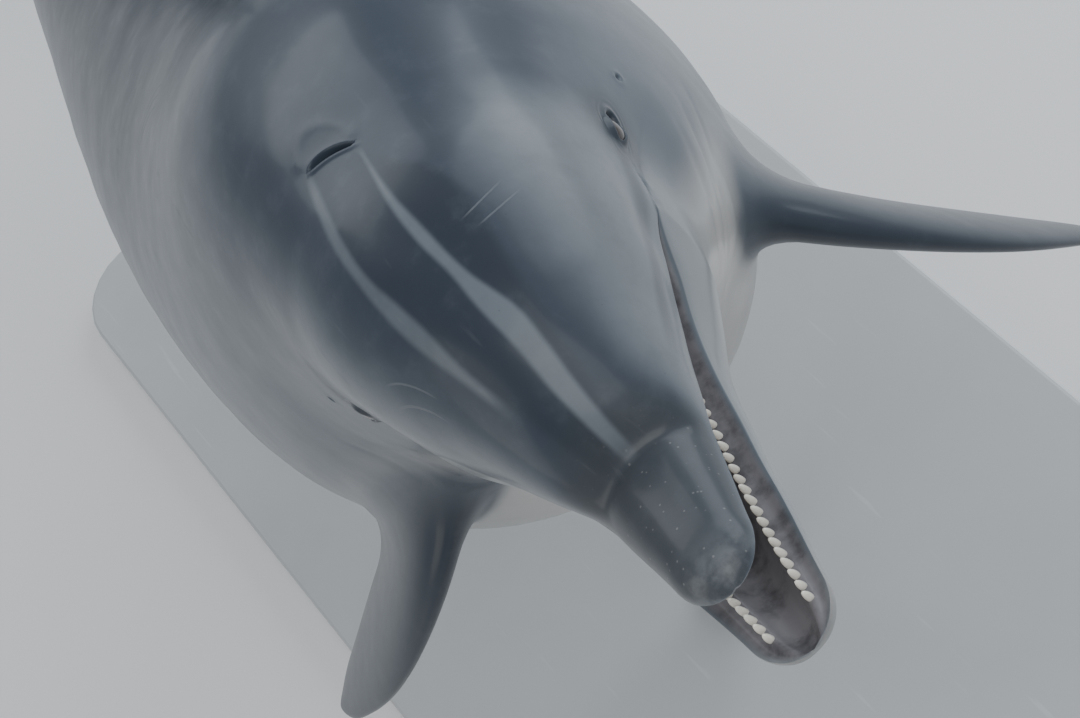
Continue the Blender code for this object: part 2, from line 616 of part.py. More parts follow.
def blowhole_cutter(collection):
    """The crescent opening on top of the head, its horns towards the beak."""
    half, sides = BLOWHOLE_WIDTH / 2, 9
    top = float(back(BLOWHOLE_STATION))
    front, rear = [], []
    for i in range(sides):
        t = -1 + 2 * i / (sides - 1)
        arc = BLOWHOLE_BOW * t * t + BLOWHOLE_SKEW * half * t
        lens = BLOWHOLE_OPEN / 2 * math.sqrt(max(1 - t * t, 0.0)) + 0.0004
        rear.append((half * t + BLOWHOLE_OFFSET, BLOWHOLE_STATION - arc + lens))
        front.append((half * t + BLOWHOLE_OFFSET, BLOWHOLE_STATION - arc - lens))
    outline = rear + front[::-1]
    points = [(x, y + 0.004 * k, top + z) for k, z in ((1, -BLOWHOLE_DEPTH), (0, 0.03)) for x, y in outline]
    count = len(outline)
    faces = [tuple(range(count)), tuple(range(2 * count - 1, count - 1, -1))]
    faces += [(i, (i + 1) % count, count + (i + 1) % count, count + i) for i in range(count)]
    return helper(new_object("blowhole_cutter", posed(points, HEAD_CARRIER), faces, collection))


def rounded_plate(name, size, centre_y, collection):
    """The flat base, a box with eased edges, its underside at the floor."""
    mesh = bpy.data.meshes.new(name)
    work = bmesh.new()
    bmesh.ops.create_cube(work, size=1.0)
    for vert in work.verts:
        x, y, z = vert.co
        vert.co = Vector((x * size[0], y * size[1] + centre_y, (z + 0.5) * size[2]))
    upright = [e for e in work.edges if abs(e.verts[0].co.z - e.verts[1].co.z) > size[2] / 2]
    bmesh.ops.bevel(work, geom=upright, offset=BASE_CORNER, segments=6, profile=0.5, affect="EDGES")
    work.to_mesh(mesh)
    work.free()
    obj = bpy.data.objects.new(name, mesh)
    collection.objects.link(obj)
    bevel = obj.modifiers.new("EasedEdges", "BEVEL")
    bevel.width = BASE_EASE
    bevel.segments = 2
    bevel.limit_method = "ANGLE"
    return obj


def upright_cylinder(name, radius, low, high, y, collection, sides=20):
    """A plain round upright standing at x = 0."""
    mesh = bpy.data.meshes.new(name)
    work = bmesh.new()
    bmesh.ops.create_cone(work, cap_ends=True, segments=sides, radius1=radius, radius2=radius,
                          depth=high - low)
    for vert in work.verts:
        vert.co += Vector((0, y, (low + high) / 2))
    work.to_mesh(mesh)
    work.free()
    obj = bpy.data.objects.new(name, mesh)
    collection.objects.link(obj)
    return obj


def stand(collection, cutters, body_room):
    """Flat base, two rods up into the belly, and a collar at the foot of each rod."""
    plate = rounded_plate("stand_base", BASE_SIZE, BASE_CENTRE_Y, collection)
    pieces = [plate]
    deck = BASE_SIZE[2] + GAP
    for label, y in zip(("front", "rear"), ROD_PLACES):
        spine_height = float(np.interp(y, SPINE_PLACES[:, 1], SPINE_PLACES[:, 2]))
        rod = upright_cylinder(f"stand_rod_{label}", ROD_RADIUS, deck, spine_height, y, collection)
        boolean(rod, body_room, "DIFFERENCE")
        collar = upright_cylinder(f"stand_collar_{label}", COLLAR_RADIUS, deck, deck + COLLAR_HEIGHT, y,
                                  collection, sides=28)
        bore = helper(upright_cylinder(f"bore_{label}", ROD_RADIUS + 2 * GAP, 0.0, 0.2, y, cutters))
        boolean(collar, bore, "DIFFERENCE")
        pieces += [rod, collar]
    return pieces


def material(name, colour, roughness, metallic=0.0):
    """A plain surface finish."""
    made = bpy.data.materials.new(name)
    made.use_nodes = True
    shader = made.node_tree.nodes["Principled BSDF"]
    shader.inputs["Base Color"].default_value = (*colour, 1.0)
    shader.inputs["Roughness"].default_value = roughness
    shader.inputs["Metallic"].default_value = metallic
    return made


def finish(objects, made):
    """Gives each object its material and smooth shading."""
    for obj in objects:
        obj.data.materials.clear()
        obj.data.materials.append(made)
        obj.data.shade_smooth()
        obj.data.set_sharp_from_angle(angle=math.radians(40))


def main():
    for obj in list(bpy.data.objects):
        bpy.data.objects.remove(obj, do_unlink=True)
    model = bpy.data.collections.new("bottlenose_dolphin")
    cutters = bpy.data.collections.new("cutters")
    for collection in (model, cutters):
        bpy.context.scene.collection.children.link(collection)

    body_room = helper(trunk_piece("body_room", 0.30, BODY_END, cutters, extra=GAP * 1.3))
    tail_room = helper(trunk_piece("tail_room", 2.2, BODY_END + GAP, cutters, extra=GAP * 1.3))

    head = whole_head(model)
    lower_jaw = new_object("lower_jaw", [v.co for v in head.data.vertices],
                           [tuple(p.vertices) for p in head.data.polygons], model)
    boolean(head, jaw_zone("jaw_zone_wide", -GAP / 2, cutters), "DIFFERENCE")
    boolean(lower_jaw, jaw_zone("jaw_zone_close", GAP / 2, cutters), "INTERSECT")
    boolean(head, tooth_row("upper_teeth", False, cutters), "UNION")
    boolean(lower_jaw, tooth_row("lower_teeth", True, cutters), "UNION")
    boolean(head, blowhole_cutter(cutters), "DIFFERENCE")
    eyes = []
    for which, mirror in (("left", 1), ("right", -1)):
        boolean(head, helper(eye(f"socket_{which}", mirror, cutters, EYE_RADIUS + 1.5 * GAP)), "DIFFERENCE")
        eyes.append(eye(f"eye_{which}", mirror, model))

    names = ("neck", "trunk", "loin", "tail_stock")
    trunk = [trunk_piece(name, start + GAP / 2, end - GAP / 2, model)
             for name, start, end in zip(names, SEGMENT_CUTS, SEGMENT_CUTS[1:])]

    fins = [dorsal_fin(model)]
    for which in ("left", "right"):
        fins.append(flipper(f"flipper_{which}", which, model))
    for obj in fins:
        boolean(obj, body_room, "DIFFERENCE")
    flukes = [fluke(f"fluke_{which}", mirror, model) for which, mirror in (("left", 1), ("right", -1))]
    for obj in flukes:
        boolean(obj, tail_room, "DIFFERENCE")
    fins += flukes

    tongues = [tongue(model)]
    stand_pieces = stand(model, cutters, body_room)

    plate, *steel = stand_pieces
    finish([head, lower_jaw, *trunk, *fins], material("dolphin_skin", SKIN_COLOUR, 0.32))
    finish(eyes, material("dolphin_eye", EYE_COLOUR, 0.08))
    finish(tongues, material("dolphin_tongue", TONGUE_COLOUR, 0.35))
    finish([plate], material("stand_paint", PAINT_COLOUR, 0.45))
    finish(steel, material("stand_steel", STEEL_COLOUR, 0.30, 1.0))


main()
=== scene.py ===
"""Finished looks of a life-size bottlenose dolphin model on a plain two-rod display stand.

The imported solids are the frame. One seamless skin stands for every node of flesh. It is
laid out straight first (x to the animal's left, y from the tip of the upper jaw back to
the tail, z up from the lips) and then carried along the same bent spine as the solids.
Eyes, teeth and tongue are pieces of their own, and the stand keeps its solids with new
finishes. Lengths are in metres and angles in degrees unless a name says otherwise.
"""

from __future__ import annotations

import logging
import math
from collections.abc import Callable
from dataclasses import dataclass, field
from enum import Enum
from functools import partial, reduce

import bmesh
import bpy
import numpy as np
from mathutils import Matrix, Vector
from mathutils.bvhtree import BVHTree
from mathutils.kdtree import KDTree


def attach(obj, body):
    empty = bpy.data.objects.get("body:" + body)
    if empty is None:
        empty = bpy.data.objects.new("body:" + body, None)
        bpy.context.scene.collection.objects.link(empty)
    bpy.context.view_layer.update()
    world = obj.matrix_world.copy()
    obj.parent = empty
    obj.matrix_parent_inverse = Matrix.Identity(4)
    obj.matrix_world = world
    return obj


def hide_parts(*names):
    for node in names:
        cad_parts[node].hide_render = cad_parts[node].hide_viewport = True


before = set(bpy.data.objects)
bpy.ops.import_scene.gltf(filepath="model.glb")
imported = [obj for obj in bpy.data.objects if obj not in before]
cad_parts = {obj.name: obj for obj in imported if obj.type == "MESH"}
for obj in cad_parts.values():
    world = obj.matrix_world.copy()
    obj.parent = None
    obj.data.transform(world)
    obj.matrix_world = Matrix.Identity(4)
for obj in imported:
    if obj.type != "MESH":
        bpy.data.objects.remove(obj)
log = logging.getLogger("dolphin")

Array = np.ndarray
Arrays = tuple[Array, Array]
Mesh = bpy.types.Mesh
Object = bpy.types.Object
Material = bpy.types.Material
Socket = bpy.types.NodeSocket
Number = float | Socket
Pair = tuple[float, float]
Triple = tuple[float, float, float]
Colour = Triple
Knots = tuple[Pair, ...]
Faces = list[tuple[int, ...]]
PlaceTest = Callable[[Vector], bool]

HEAD = 0.2  # a station of the head, which is carried whole: eyes, teeth and tongue all ride on it
TINY = 1e-9  # keeps a length or a power off zero


# ---- shape functions


def ramp(at: Array, start: float, end: float) -> Array:
    """A smooth step from 0 at start to 1 at end."""
    share = np.clip((np.asarray(at, float) - start) / (end - start), 0, 1)
    return share * share * (3 - 2 * share)


def bump(at: Array, centre: float, width: float) -> Array:
    """A bell of height 1 at the centre, fallen to about a third a width away."""
    return np.exp(-(((np.asarray(at, float) - centre) / width) ** 2))


def round_nose(at: Array, length: float) -> Array:
    """Share of its full size that a form has behind its front end, as a quarter ellipse."""
    share = np.clip(np.asarray(at, float) / length, 0, 1)
    return np.sqrt(np.clip(1 - (1 - share) ** 2, 0, 1))


def superellipse(angle: Array, width: Array, height: Array, power: Array) -> Array:
    """Polar radius of a superellipse arch.

    Args:
        angle: Direction, from the animal's left.
        width: Reach to the side.
        height: Reach up or down.
        power: Squareness; 2 is an ellipse.

    Returns:
        The radius in each direction.
    """
    across = (np.abs(np.cos(angle)) / np.maximum(width, TINY)) ** power
    upward = (np.abs(np.sin(angle)) / np.maximum(height, TINY)) ** power
    return (across + upward) ** (-1 / power)


def raised_ellipse(angle: Array, width: Array, top: Array, lift: Array) -> Array:
    """Polar radius of an ellipse whose centre stands above the pole.

    Args:
        angle: Direction, from the animal's left.
        width: Half width of the ellipse.
        top: Height of its highest point over the pole.
        lift: Height of its centre over the pole.

    Returns:
        The radius in each direction.
    """
    cos, sin = np.cos(angle), np.sin(angle)
    height = np.maximum(top - lift, TINY)
    square = (cos / width) ** 2 + (sin / height) ** 2
    linear = -2 * sin * lift / height**2
    constant = (lift / height) ** 2 - 1
    return (-linear + np.sqrt(np.maximum(linear * linear - 4 * square * constant, 0))) / (2 * square)


class SmoothCurve:
    """A natural cubic through (place, value) knots."""

    def __init__(self, knots: Knots) -> None:
        """Solves the curve's bends.

        Args:
            knots: Pairs of place and value, in order of place.
        """
        self.x, self.y = (np.array(column, float) for column in zip(*knots))
        count, self.step, rise = len(self.x), np.diff(self.x), np.diff(self.y)
        system, right = np.eye(count), np.zeros(count)
        for i in range(1, count - 1):
            system[i, i - 1:i + 2] = self.step[i - 1], 2 * (self.step[i - 1] + self.step[i]), self.step[i]
            right[i] = 6 * (rise[i] / self.step[i] - rise[i - 1] / self.step[i - 1])
        self.bend = np.linalg.solve(system, right)

    def __call__(self, at: Array) -> Array:
        """Reads the curve.

        Args:
            at: Places; those outside the knots read the nearest end.

        Returns:
            The value at each place.
        """
        at = np.clip(np.asarray(at, float), self.x[0], self.x[-1])
        i = np.clip(np.searchsorted(self.x, at) - 1, 0, len(self.x) - 2)
        a, b, h = self.x[i + 1] - at, at - self.x[i], self.step[i]
        near, far = self.bend[i], self.bend[i + 1]
        return ((near * a**3 + far * b**3) / (6 * h)
                + (self.y[i] / h - near * h / 6) * a + (self.y[i + 1] / h - far * h / 6) * b)


# ---- the animal's form


@dataclass
class Spine:
    """The bent spine that carries every station of the straight-laid animal."""

    nose_up: Knots = (
        (-0.2, 18.5), (0.34, 18.5), (0.64, 48.5), (0.8, 42.5), (1.0, 30.0), (1.5, 12.0), (2.0, 3.0),
        (2.45, -4.0), (2.85, -10.0),
    )
    turn_left: Knots = ((-0.2, -6.5), (0.34, -6.5), (0.64, 0.0), (2.85, 0.0))
    head_tilt: Knots = ((-0.2, -12.0), (0.34, -12.0), (0.64, 0.0), (2.85, 0.0))
    anchor_station: float = 1.12
    anchor_height: float = 0.7
    reach: Pair = (-0.2, 2.9)
    step: float = 0.002
    stations: Array = field(init=False, repr=False)
    places: Array = field(init=False, repr=False)

    def __post_init__(self) -> None:
        """Walks the spine, and sets its anchor over the middle of the base."""
        self.stations = np.arange(*self.reach, self.step)
        moves = self.axes(self.stations[:-1] + self.step / 2)[:, :, 1] * self.step
        places = np.vstack([np.zeros(3), np.cumsum(moves, axis=0)])
        anchor = [np.interp(self.anchor_station, self.stations, places[:, k]) for k in range(3)]
        self.places = places - anchor + [0, 0, self.anchor_height]

    def angle(self, knots: Knots, at: Array) -> Array:
        """Reads an angle along the spine; the second stretch is eased.

        Args:
            knots: Pairs of station and degrees.
            at: Stations to read.

        Returns:
            The angle at each station, in radians.
        """
        total = np.full(at.shape, float(knots[0][1]))
        for i in range(1, len(knots)):
            start, end = knots[i - 1][0], knots[i][0]
            share = ramp(at, start, end) if i == 2 else np.clip((at - start) / (end - start), 0, 1)
            total = total + (knots[i][1] - knots[i - 1][1]) * share
        return np.radians(total)

    def axes(self, at: Array) -> Array:
        """The animal's left, back and up directions in the room.

        Args:
            at: Stations.

        Returns:
            A 3 by 3 matrix for each station, the directions as its columns.
        """
        at = np.asarray(at, float)
        up, turn, tilt = (self.angle(k, at) for k in (self.nose_up, self.turn_left, self.head_tilt))
        one, nil = np.ones_like(up), np.zeros_like(up)

        def rows(*cells: Array) -> Array:
            """Nine cells as a 3 by 3 matrix for each station."""
            return np.stack(cells, -1).reshape(*up.shape, 3, 3)

        about_z = rows(np.cos(turn), -np.sin(turn), nil, np.sin(turn), np.cos(turn), nil, nil, nil, one)
        about_x = rows(one, nil, nil, nil, np.cos(up), np.sin(up), nil, -np.sin(up), np.cos(up))
        about_y = rows(np.cos(tilt), nil, np.sin(tilt), nil, one, nil, -np.sin(tilt), nil, np.cos(tilt))
        return about_z @ about_x @ about_y

    def pose(self, points: Array, station: float | None = None) -> Array:
        """Carries straight-laid points onto the spine.

        Args:
            points: Straight-laid points.
            station: One station that carries them all; by default each has its own.

        Returns:
            The points in the room.
        """
        points = np.asarray(points, float).reshape(-1, 3)
        at = points[:, 1] if station is None else np.full(len(points), float(station))
        place = np.stack([np.interp(at, self.stations, self.places[:, k]) for k in range(3)], 1)
        local = np.stack([points[:, 0], points[:, 1] - at, points[:, 2]], 1)
        return place + np.einsum("nij,nj->ni", self.axes(at), local)


@dataclass
class BodyForm:
    """The body's sections from the beak to the tail stock, the jaw hanging open."""

    end: float = 2.68
    beak_length: float = 0.11
    gape: float = 0.285
    bite_opening: float = 9.2
    jaw_hinge: Pair = (0.335, -0.012)
    chin_lead: float = 0.012
    melon_rise: float = 0.19
    melon_lift: float = 0.38
    crease: float = 12.0
    crease_depth: float = 0.003
    melon_end: Pair = (0.24, 0.42)
    beak_fade: Pair = (0.24, 0.38)
    throat_end: float = 0.43
    tip_round: float = 0.035
    chin_round: float = 0.03
    gum_inset: float = 0.0175
    gum_share: float = 0.46
    gum_step: float = 0.0015
    back_knots: Knots = (
        (0.08, 0.15), (0.2, 0.158), (0.3, 0.166), (0.36, 0.174), (0.45, 0.192), (0.6, 0.222), (0.8, 0.249),
        (1.0, 0.261), (1.2, 0.259), (1.45, 0.235), (1.7, 0.192), (1.95, 0.145), (2.2, 0.101), (2.38, 0.071),
        (2.5, 0.052), (2.6, 0.033), (2.7, 0.013),
    )
    belly_knots: Knots = (
        (0.0, -0.02), (0.03, -0.027), (0.06, -0.036), (0.1, -0.047), (0.15, -0.062), (0.2, -0.079),
        (0.26, -0.101), (0.33, -0.131), (0.42, -0.169), (0.55, -0.215), (0.75, -0.256), (0.95, -0.272),
        (1.15, -0.27), (1.4, -0.245), (1.65, -0.195), (1.9, -0.138), (2.15, -0.086), (2.38, -0.048),
        (2.5, -0.032), (2.6, -0.016), (2.7, -0.001),
    )
    side_knots: Knots = (
        (0.1, 0.014), (0.11, 0.027), (0.12, 0.037), (0.14, 0.05), (0.18, 0.067), (0.22, 0.085),
        (0.28, 0.104), (0.34, 0.1225), (0.42, 0.148), (0.55, 0.186), (0.75, 0.226), (0.95, 0.244),
        (1.15, 0.245), (1.4, 0.222), (1.65, 0.178), (1.9, 0.128), (2.15, 0.083), (2.38, 0.051),
        (2.5, 0.038), (2.6, 0.024), (2.7, 0.009),
    )
    widest_knots: Knots = (
        (0.0, 0.0), (0.05, -0.004), (0.1, -0.009), (0.15, -0.011), (0.2, -0.006), (0.25, 0.008),
        (0.285, 0.02), (0.34, 0.012), (0.45, -0.006), (0.6, -0.016), (1.0, -0.02), (1.5, -0.012),
        (2.0, 0.002), (2.7, 0.006),
    )
    lip_knots: Knots = (
        (0.0, 0.0255), (0.035, 0.0282), (0.06, 0.0318), (0.1, 0.038), (0.15, 0.0455), (0.2, 0.0605),
        (0.25, 0.0875), (0.285, 0.104), (0.36, 0.122),
    )
    lower_lip_knots: Knots = ((0.0, 1.03), (0.09, 1.06), (0.16, 1.02), (0.22, 0.925), (0.285, 1.0))
    beak_knots: Knots = (
        (0.0, 0.017), (0.03, 0.024), (0.06, 0.029), (0.1, 0.036), (0.2, 0.048), (0.36, 0.06),
    )
    square_knots: Knots = (
        (0.0, 2.25), (0.3, 2.15), (0.6, 2.1), (1.5, 2.05), (2.0, 1.85), (2.4, 1.65), (2.7, 1.7),
    )

    def __post_init__(self) -> None:
        """Makes the curves that the sections read."""
        self.back, self.belly = map(SmoothCurve, (self.back_knots, self.belly_knots))
        self.side, self.widest = map(SmoothCurve, (self.side_knots, self.widest_knots))
        self.lip, self.lower_lip = map(SmoothCurve, (self.lip_knots, self.lower_lip_knots))
        self.beak_top, self.squareness = map(SmoothCurve, (self.beak_knots, self.square_knots))

    def upper_radius(self, station: Array, angle: Array) -> Array:
        """From the widest level out to the skin above it.

        Args:
            station: Distance behind the jaw's tip.
            angle: Direction from the animal's left, 0 to pi over the back.

        Returns:
            The radius of the section.
        """
        station, angle = np.broadcast_arrays(np.asarray(station, float), np.asarray(angle, float))
        power = self.squareness(station)
        tip = round_nose(station, self.tip_round)
        beak = superellipse(angle, self.lip(station) * tip, self.beak_top(station) * tip, power)
        crease_foot = self.beak_length - self.crease_depth
        swell = round_nose(station - crease_foot, self.melon_rise)
        top = np.maximum((self.back(station) - self.widest(station)) * swell, 1e-6)
        trunk = superellipse(angle, self.side(station), top, power)
        melon = raised_ellipse(angle, self.side(station), top, self.melon_lift * top)
        over = ramp(station, *self.melon_end)
        full = np.maximum(melon * (1 - over) + trunk * over, 1e-6)
        fade = 1 - ramp(station, *self.beak_fade)
        full = full * (1 + fade * (beak / full) ** self.crease) ** (1 / self.crease)
        return np.where(station <= crease_foot, beak, full)

    def lower_radius(self, station: Array, angle: Array) -> Array:
        """From the widest level out to the skin below it.

        Args:
            station: Distance behind the jaw's tip.
            angle: Direction from the animal's left, pi to 2 pi under the belly.

        Returns:
            The radius of the section.
        """
        width = self.upper_radius(station, 0.0) * self.lower_lip(station)
        depth = (self.widest(station) - self.belly(station)) * round_nose(station, self.chin_round)
        return superellipse(angle, width, depth, self.squareness(station))

    def jaw_share(self, station: Array, sine: Array, lower: Array) -> Array:
        """How far the skin goes with the lower jaw: all at the lip, none over the back.

        Args:
            station: Distance behind the jaw's tip.
            sine: Height of the direction, -1 under the belly to 1 over the back.
            lower: True on the jaw, the throat and the belly.

        Returns:
            The share of the jaw's turn, 0 to 1.
        """
        along = 1 - ramp(station, self.gape - 0.035, self.throat_end)
        front = 1 - ramp(station, self.gape - 0.04, self.gape)
        low = 0.5 + 0.5 * ramp(-sine, 0.0, 0.6)
        high = 0.5 * (1 - ramp(sine, 0.0, 0.5)) * (1 - front)
        return along * np.where(lower, front + (1 - front) * low, high)

    def dropped(self, points: Array, share: Array) -> Array:
        """Turns points down about the jaw joint.

        Args:
            points: Straight-laid points.
            share: Share of the opening for each point.

        Returns:
            The turned points.
        """
        points = np.asarray(points, float).copy()
        turn = np.radians(self.bite_opening) * np.asarray(share, float)
        hinge_y, hinge_z = self.jaw_hinge
        dy, dz = points[..., 1] - hinge_y, points[..., 2] - hinge_z
        points[..., 1] = hinge_y + dy * np.cos(turn) - dz * np.sin(turn)
        points[..., 2] = hinge_z + dy * np.sin(turn) + dz * np.cos(turn)
        return points

    def chin_ahead(self, station: Array) -> Array:
        """How far the lower jaw reaches ahead of the upper one."""
        return self.chin_lead * (1 - ramp(station, 0.0, self.gape))

    def mouth_floor(self, station: Array) -> Array:
        """How far the floor of the mouth sinks in the middle."""
        depth = 0.42 * (self.widest(station) - self.belly(station)) * round_nose(station, 0.08)
        return depth * (1 - 0.8 * ramp(station, 0.2, self.gape))

    def surface(self, station: Array, cosine: Array, sine: Array, lower: Array) -> Array:
        """The straight-laid skin with the jaw shut.

        Args:
            station: Distance behind the jaw's tip.
            cosine: Sideways share of the direction in the section.
            sine: Upward share of the direction.
            lower: True on the jaw, the throat and the belly.

        Returns:
            One point for each direction.
        """
        angle = np.arctan2(sine, cosine)
        reach = np.where(lower, self.lower_radius(station, angle), self.upper_radius(station, angle))
        ahead = np.where(lower, self.chin_ahead(station), 0.0)
        height = self.widest(station) + reach * np.sin(angle)
        return np.stack([reach * np.cos(angle), station - ahead, height], -1)


# ---- mesh helpers


def added(name: str, data: bpy.types.ID) -> Object:
    """Puts a new object into the scene.

    Args:
        name: Its name.
        data: Its mesh, lamp or camera.

    Returns:
        The object.
    """
    made = bpy.data.objects.new(name, data)
    bpy.context.scene.collection.objects.link(made)
    return made


def new_mesh_object(name: str, points: Array, faces: Faces) -> Object:
    """A mesh object in the scene from points and faces.

    Args:
        name: Name of the object and its mesh.
        points: One row for each vertex.
        faces: Vertex numbers of each face.

    Returns:
        The new object.
    """
    mesh = bpy.data.meshes.new(name)
    mesh.from_pydata(np.asarray(points, float).tolist(), [], faces)
    return added(name, mesh)


def weld(mesh: Mesh, distance: float = 1e-6) -> None:
    """Merges doubles and turns every face outward.

    Args:
        mesh: The mesh to mend.
        distance: Vertices nearer than this become one.
    """
    work = bmesh.new()
    work.from_mesh(mesh)
    bmesh.ops.remove_doubles(work, verts=work.verts, dist=distance)
    bmesh.ops.dissolve_degenerate(work, edges=work.edges, dist=1e-7)
    bmesh.ops.recalc_face_normals(work, faces=work.faces)
    work.to_mesh(mesh)
    work.free()


def numbers(items: bpy.types.bpy_prop_collection, key: str, width: int = 3) -> Array:
    """Reads one property of all items of a mesh.

    Args:
        items: Vertices, normals or items of an attribute.
        key: Name of the property.
        width: How many numbers it has.

    Returns:
        A row for each item, or a number where width is 1.
    """
    flat = np.empty(len(items) * width, np.float32)
    items.foreach_get(key, flat)
    return flat.astype(float) if width == 1 else flat.reshape(-1, width).astype(float)


def coordinates(mesh: Mesh) -> Array:
    """The vertices of a mesh, one row for each."""
    return numbers(mesh.vertices, "co")


def set_coordinates(mesh: Mesh, points: Array) -> None:
    """Moves every vertex of a mesh to its row of points."""
    mesh.vertices.foreach_set("co", np.asarray(points, float).ravel())
    mesh.update()


def store(mesh: Mesh, **kept: Array) -> None:
    """Keeps attributes of a mesh.

    Args:
        mesh: The mesh.
        **kept: By name, a number or a row of three for each vertex.
    """
    for name, values in kept.items():
        kind, key = ("FLOAT", "value") if values.ndim == 1 else ("FLOAT_VECTOR", "vector")
        layer = mesh.attributes.get(name) or mesh.attributes.new(name, kind, "POINT")
        layer.data.foreach_set(key, np.asarray(values, np.float32).ravel())


def recall(mesh: Mesh, name: str) -> Array:
    """The values that store() kept under a name."""
    layer = mesh.attributes[name]
    return numbers(layer.data, "value", 1) if layer.data_type == "FLOAT" else numbers(layer.data, "vector")


def grid_faces(start: int, rows: int, columns: int, ring: bool = False) -> Faces:
    """Quads of a grid of vertices.

    Args:
        start: Number of the grid's first vertex.
        rows: How many rows it has.
        columns: How many vertices a row has.
        ring: Whether each row closes on itself.

    Returns:
        The faces.
    """
    wide = columns if ring else columns - 1
    sides = ((start + i * columns + j, start + i * columns + (j + 1) % columns)
             for i in range(rows - 1) for j in range(wide))
    return [(a, b, b + columns, a + columns) for a, b in sides]


def tube_faces(rows: int, columns: int) -> Faces:
    """Faces of a closed tube.

    Args:
        rows: How many rings it has.
        columns: How many vertices a ring has.

    Returns:
        The quads between the rings, and one face over each end.
    """
    last = (rows - 1) * columns
    ends = [tuple(range(columns)), tuple(range(last + columns - 1, last - 1, -1))]
    return grid_faces(0, rows, columns, ring=True) + ends


def edges_at(mesh: Mesh, chosen: Array) -> Array:
    """The edges that touch chosen vertices.

    Args:
        mesh: The mesh.
        chosen: True for each chosen vertex.

    Returns:
        The two vertices of each of those edges.
    """
    edges = np.empty(len(mesh.edges) * 2, np.int32)
    mesh.edges.foreach_get("vertices", edges)
    edges = edges.reshape(-1, 2)
    return edges[chosen[edges].any(1)]


def evened(points: Array, edges: Array, weight: Array) -> Array:
    """Moves points towards the mean of their neighbours.

    Args:
        points: All points of a mesh.
        edges: The edges that touch the points to move.
        weight: How far each point moves, from 0 to 1.

    Returns:
        The moved points.
    """
    total, count = np.zeros_like(points), np.zeros(len(points))
    for here, there in ((0, 1), (1, 0)):
        np.add.at(total, edges[:, here], points[edges[:, there]])
        np.add.at(count, edges[:, here], 1)
    mean = np.where(count[:, None] > 0, total / np.maximum(count, 1)[:, None], points)
    return points + weight[:, None] * (mean - points)


def settle(piece: Object) -> None:
    """Turns a piece's modifiers into its mesh.

    Args:
        piece: A piece with live modifiers.
    """
    graph = bpy.context.evaluated_depsgraph_get()
    made = bpy.data.meshes.new_from_object(piece.evaluated_get(graph))
    piece.modifiers.clear()
    piece.data = made


def dress(piece: Object, finish: Material) -> None:
    """Gives a piece one material and smooth shading.

    Args:
        piece: The piece.
        finish: Its material.
    """
    piece.data.materials.clear()
    piece.data.materials.append(finish)
    piece.data.shade_smooth()


def tree_of(piece: Object) -> BVHTree:
    """A nearest-surface finder for a piece's mesh."""
    return BVHTree.FromObject(piece, bpy.context.evaluated_depsgraph_get())


# ---- details of the skin


@dataclass
class EyeForm:
    """An eye: its place on the head, its ball and the opening of its lids."""

    station: float = 0.338
    height: float = 0.04
    depth: float = 0.106
    radius: float = 0.0155
    flatten: float = 0.92
    half_length: float = 0.0128
    half_height: float = 0.0074
    tilt: float = 9.0
    lid_thickness: float = 0.0013
    lid_reach: float = 0.036
    socket_depth: float = 0.0045

    def shape_lids(self, points: Array) -> Array:
        """Opens the lids over both eyes, with the folds around them.

        Args:
            points: Straight-laid skin.

        Returns:
            The skin with its lids.
        """
        points = points.copy()
        back, up = points[:, 1] - self.station, points[:, 2] - self.height
        cos, sin = math.cos(math.radians(self.tilt)), math.sin(math.radians(self.tilt))
        along, across = back * cos + up * sin, up * cos - back * sin
        near = np.hypot(along, across)
        here = (near < self.lid_reach) & (np.abs(points[:, 0]) > 0.06)
        along, across = along[here], across[here]
        skin = np.abs(points[here, 0])
        ball = self.depth + self.flatten * np.sqrt(np.maximum(self.radius**2 - along**2 - across**2, 0))
        reach = np.hypot(along / self.half_length, across / self.half_height)
        over = ball + self.lid_thickness
        soft = 0.0018
        swell = np.maximum(soft - np.abs(skin - over), 0)
        lid = np.maximum(skin, over) + swell**2 / (4 * soft)
        lid = skin + (lid - skin) * (1 - ramp(near[here], 0.017, 0.025))
        rim = 0.0007 * bump(reach, 1.16, 0.16)
        around = np.arctan2(across, along)
        wrinkle = reach - 1.62 + 0.1 * np.sin(3 * around + 0.6)
        folds = -0.00042 * (0.5 + 0.5 * np.cos(2 * math.pi * wrinkle / 0.55))
        folds = folds * ramp(reach, 1.35, 1.6) * (1 - ramp(reach, 1.7, 2.5))
        folds = folds * (0.35 + 0.65 * np.sin(around) ** 2)
        floor = np.minimum(ball, lid) - self.socket_depth
        open_share = 1 - ramp(reach, 0.8, 1.02)
        out = (lid + rim + folds) * (1 - open_share) + floor * open_share
        points[here, 0] = np.sign(points[here, 0]) * out
        return points


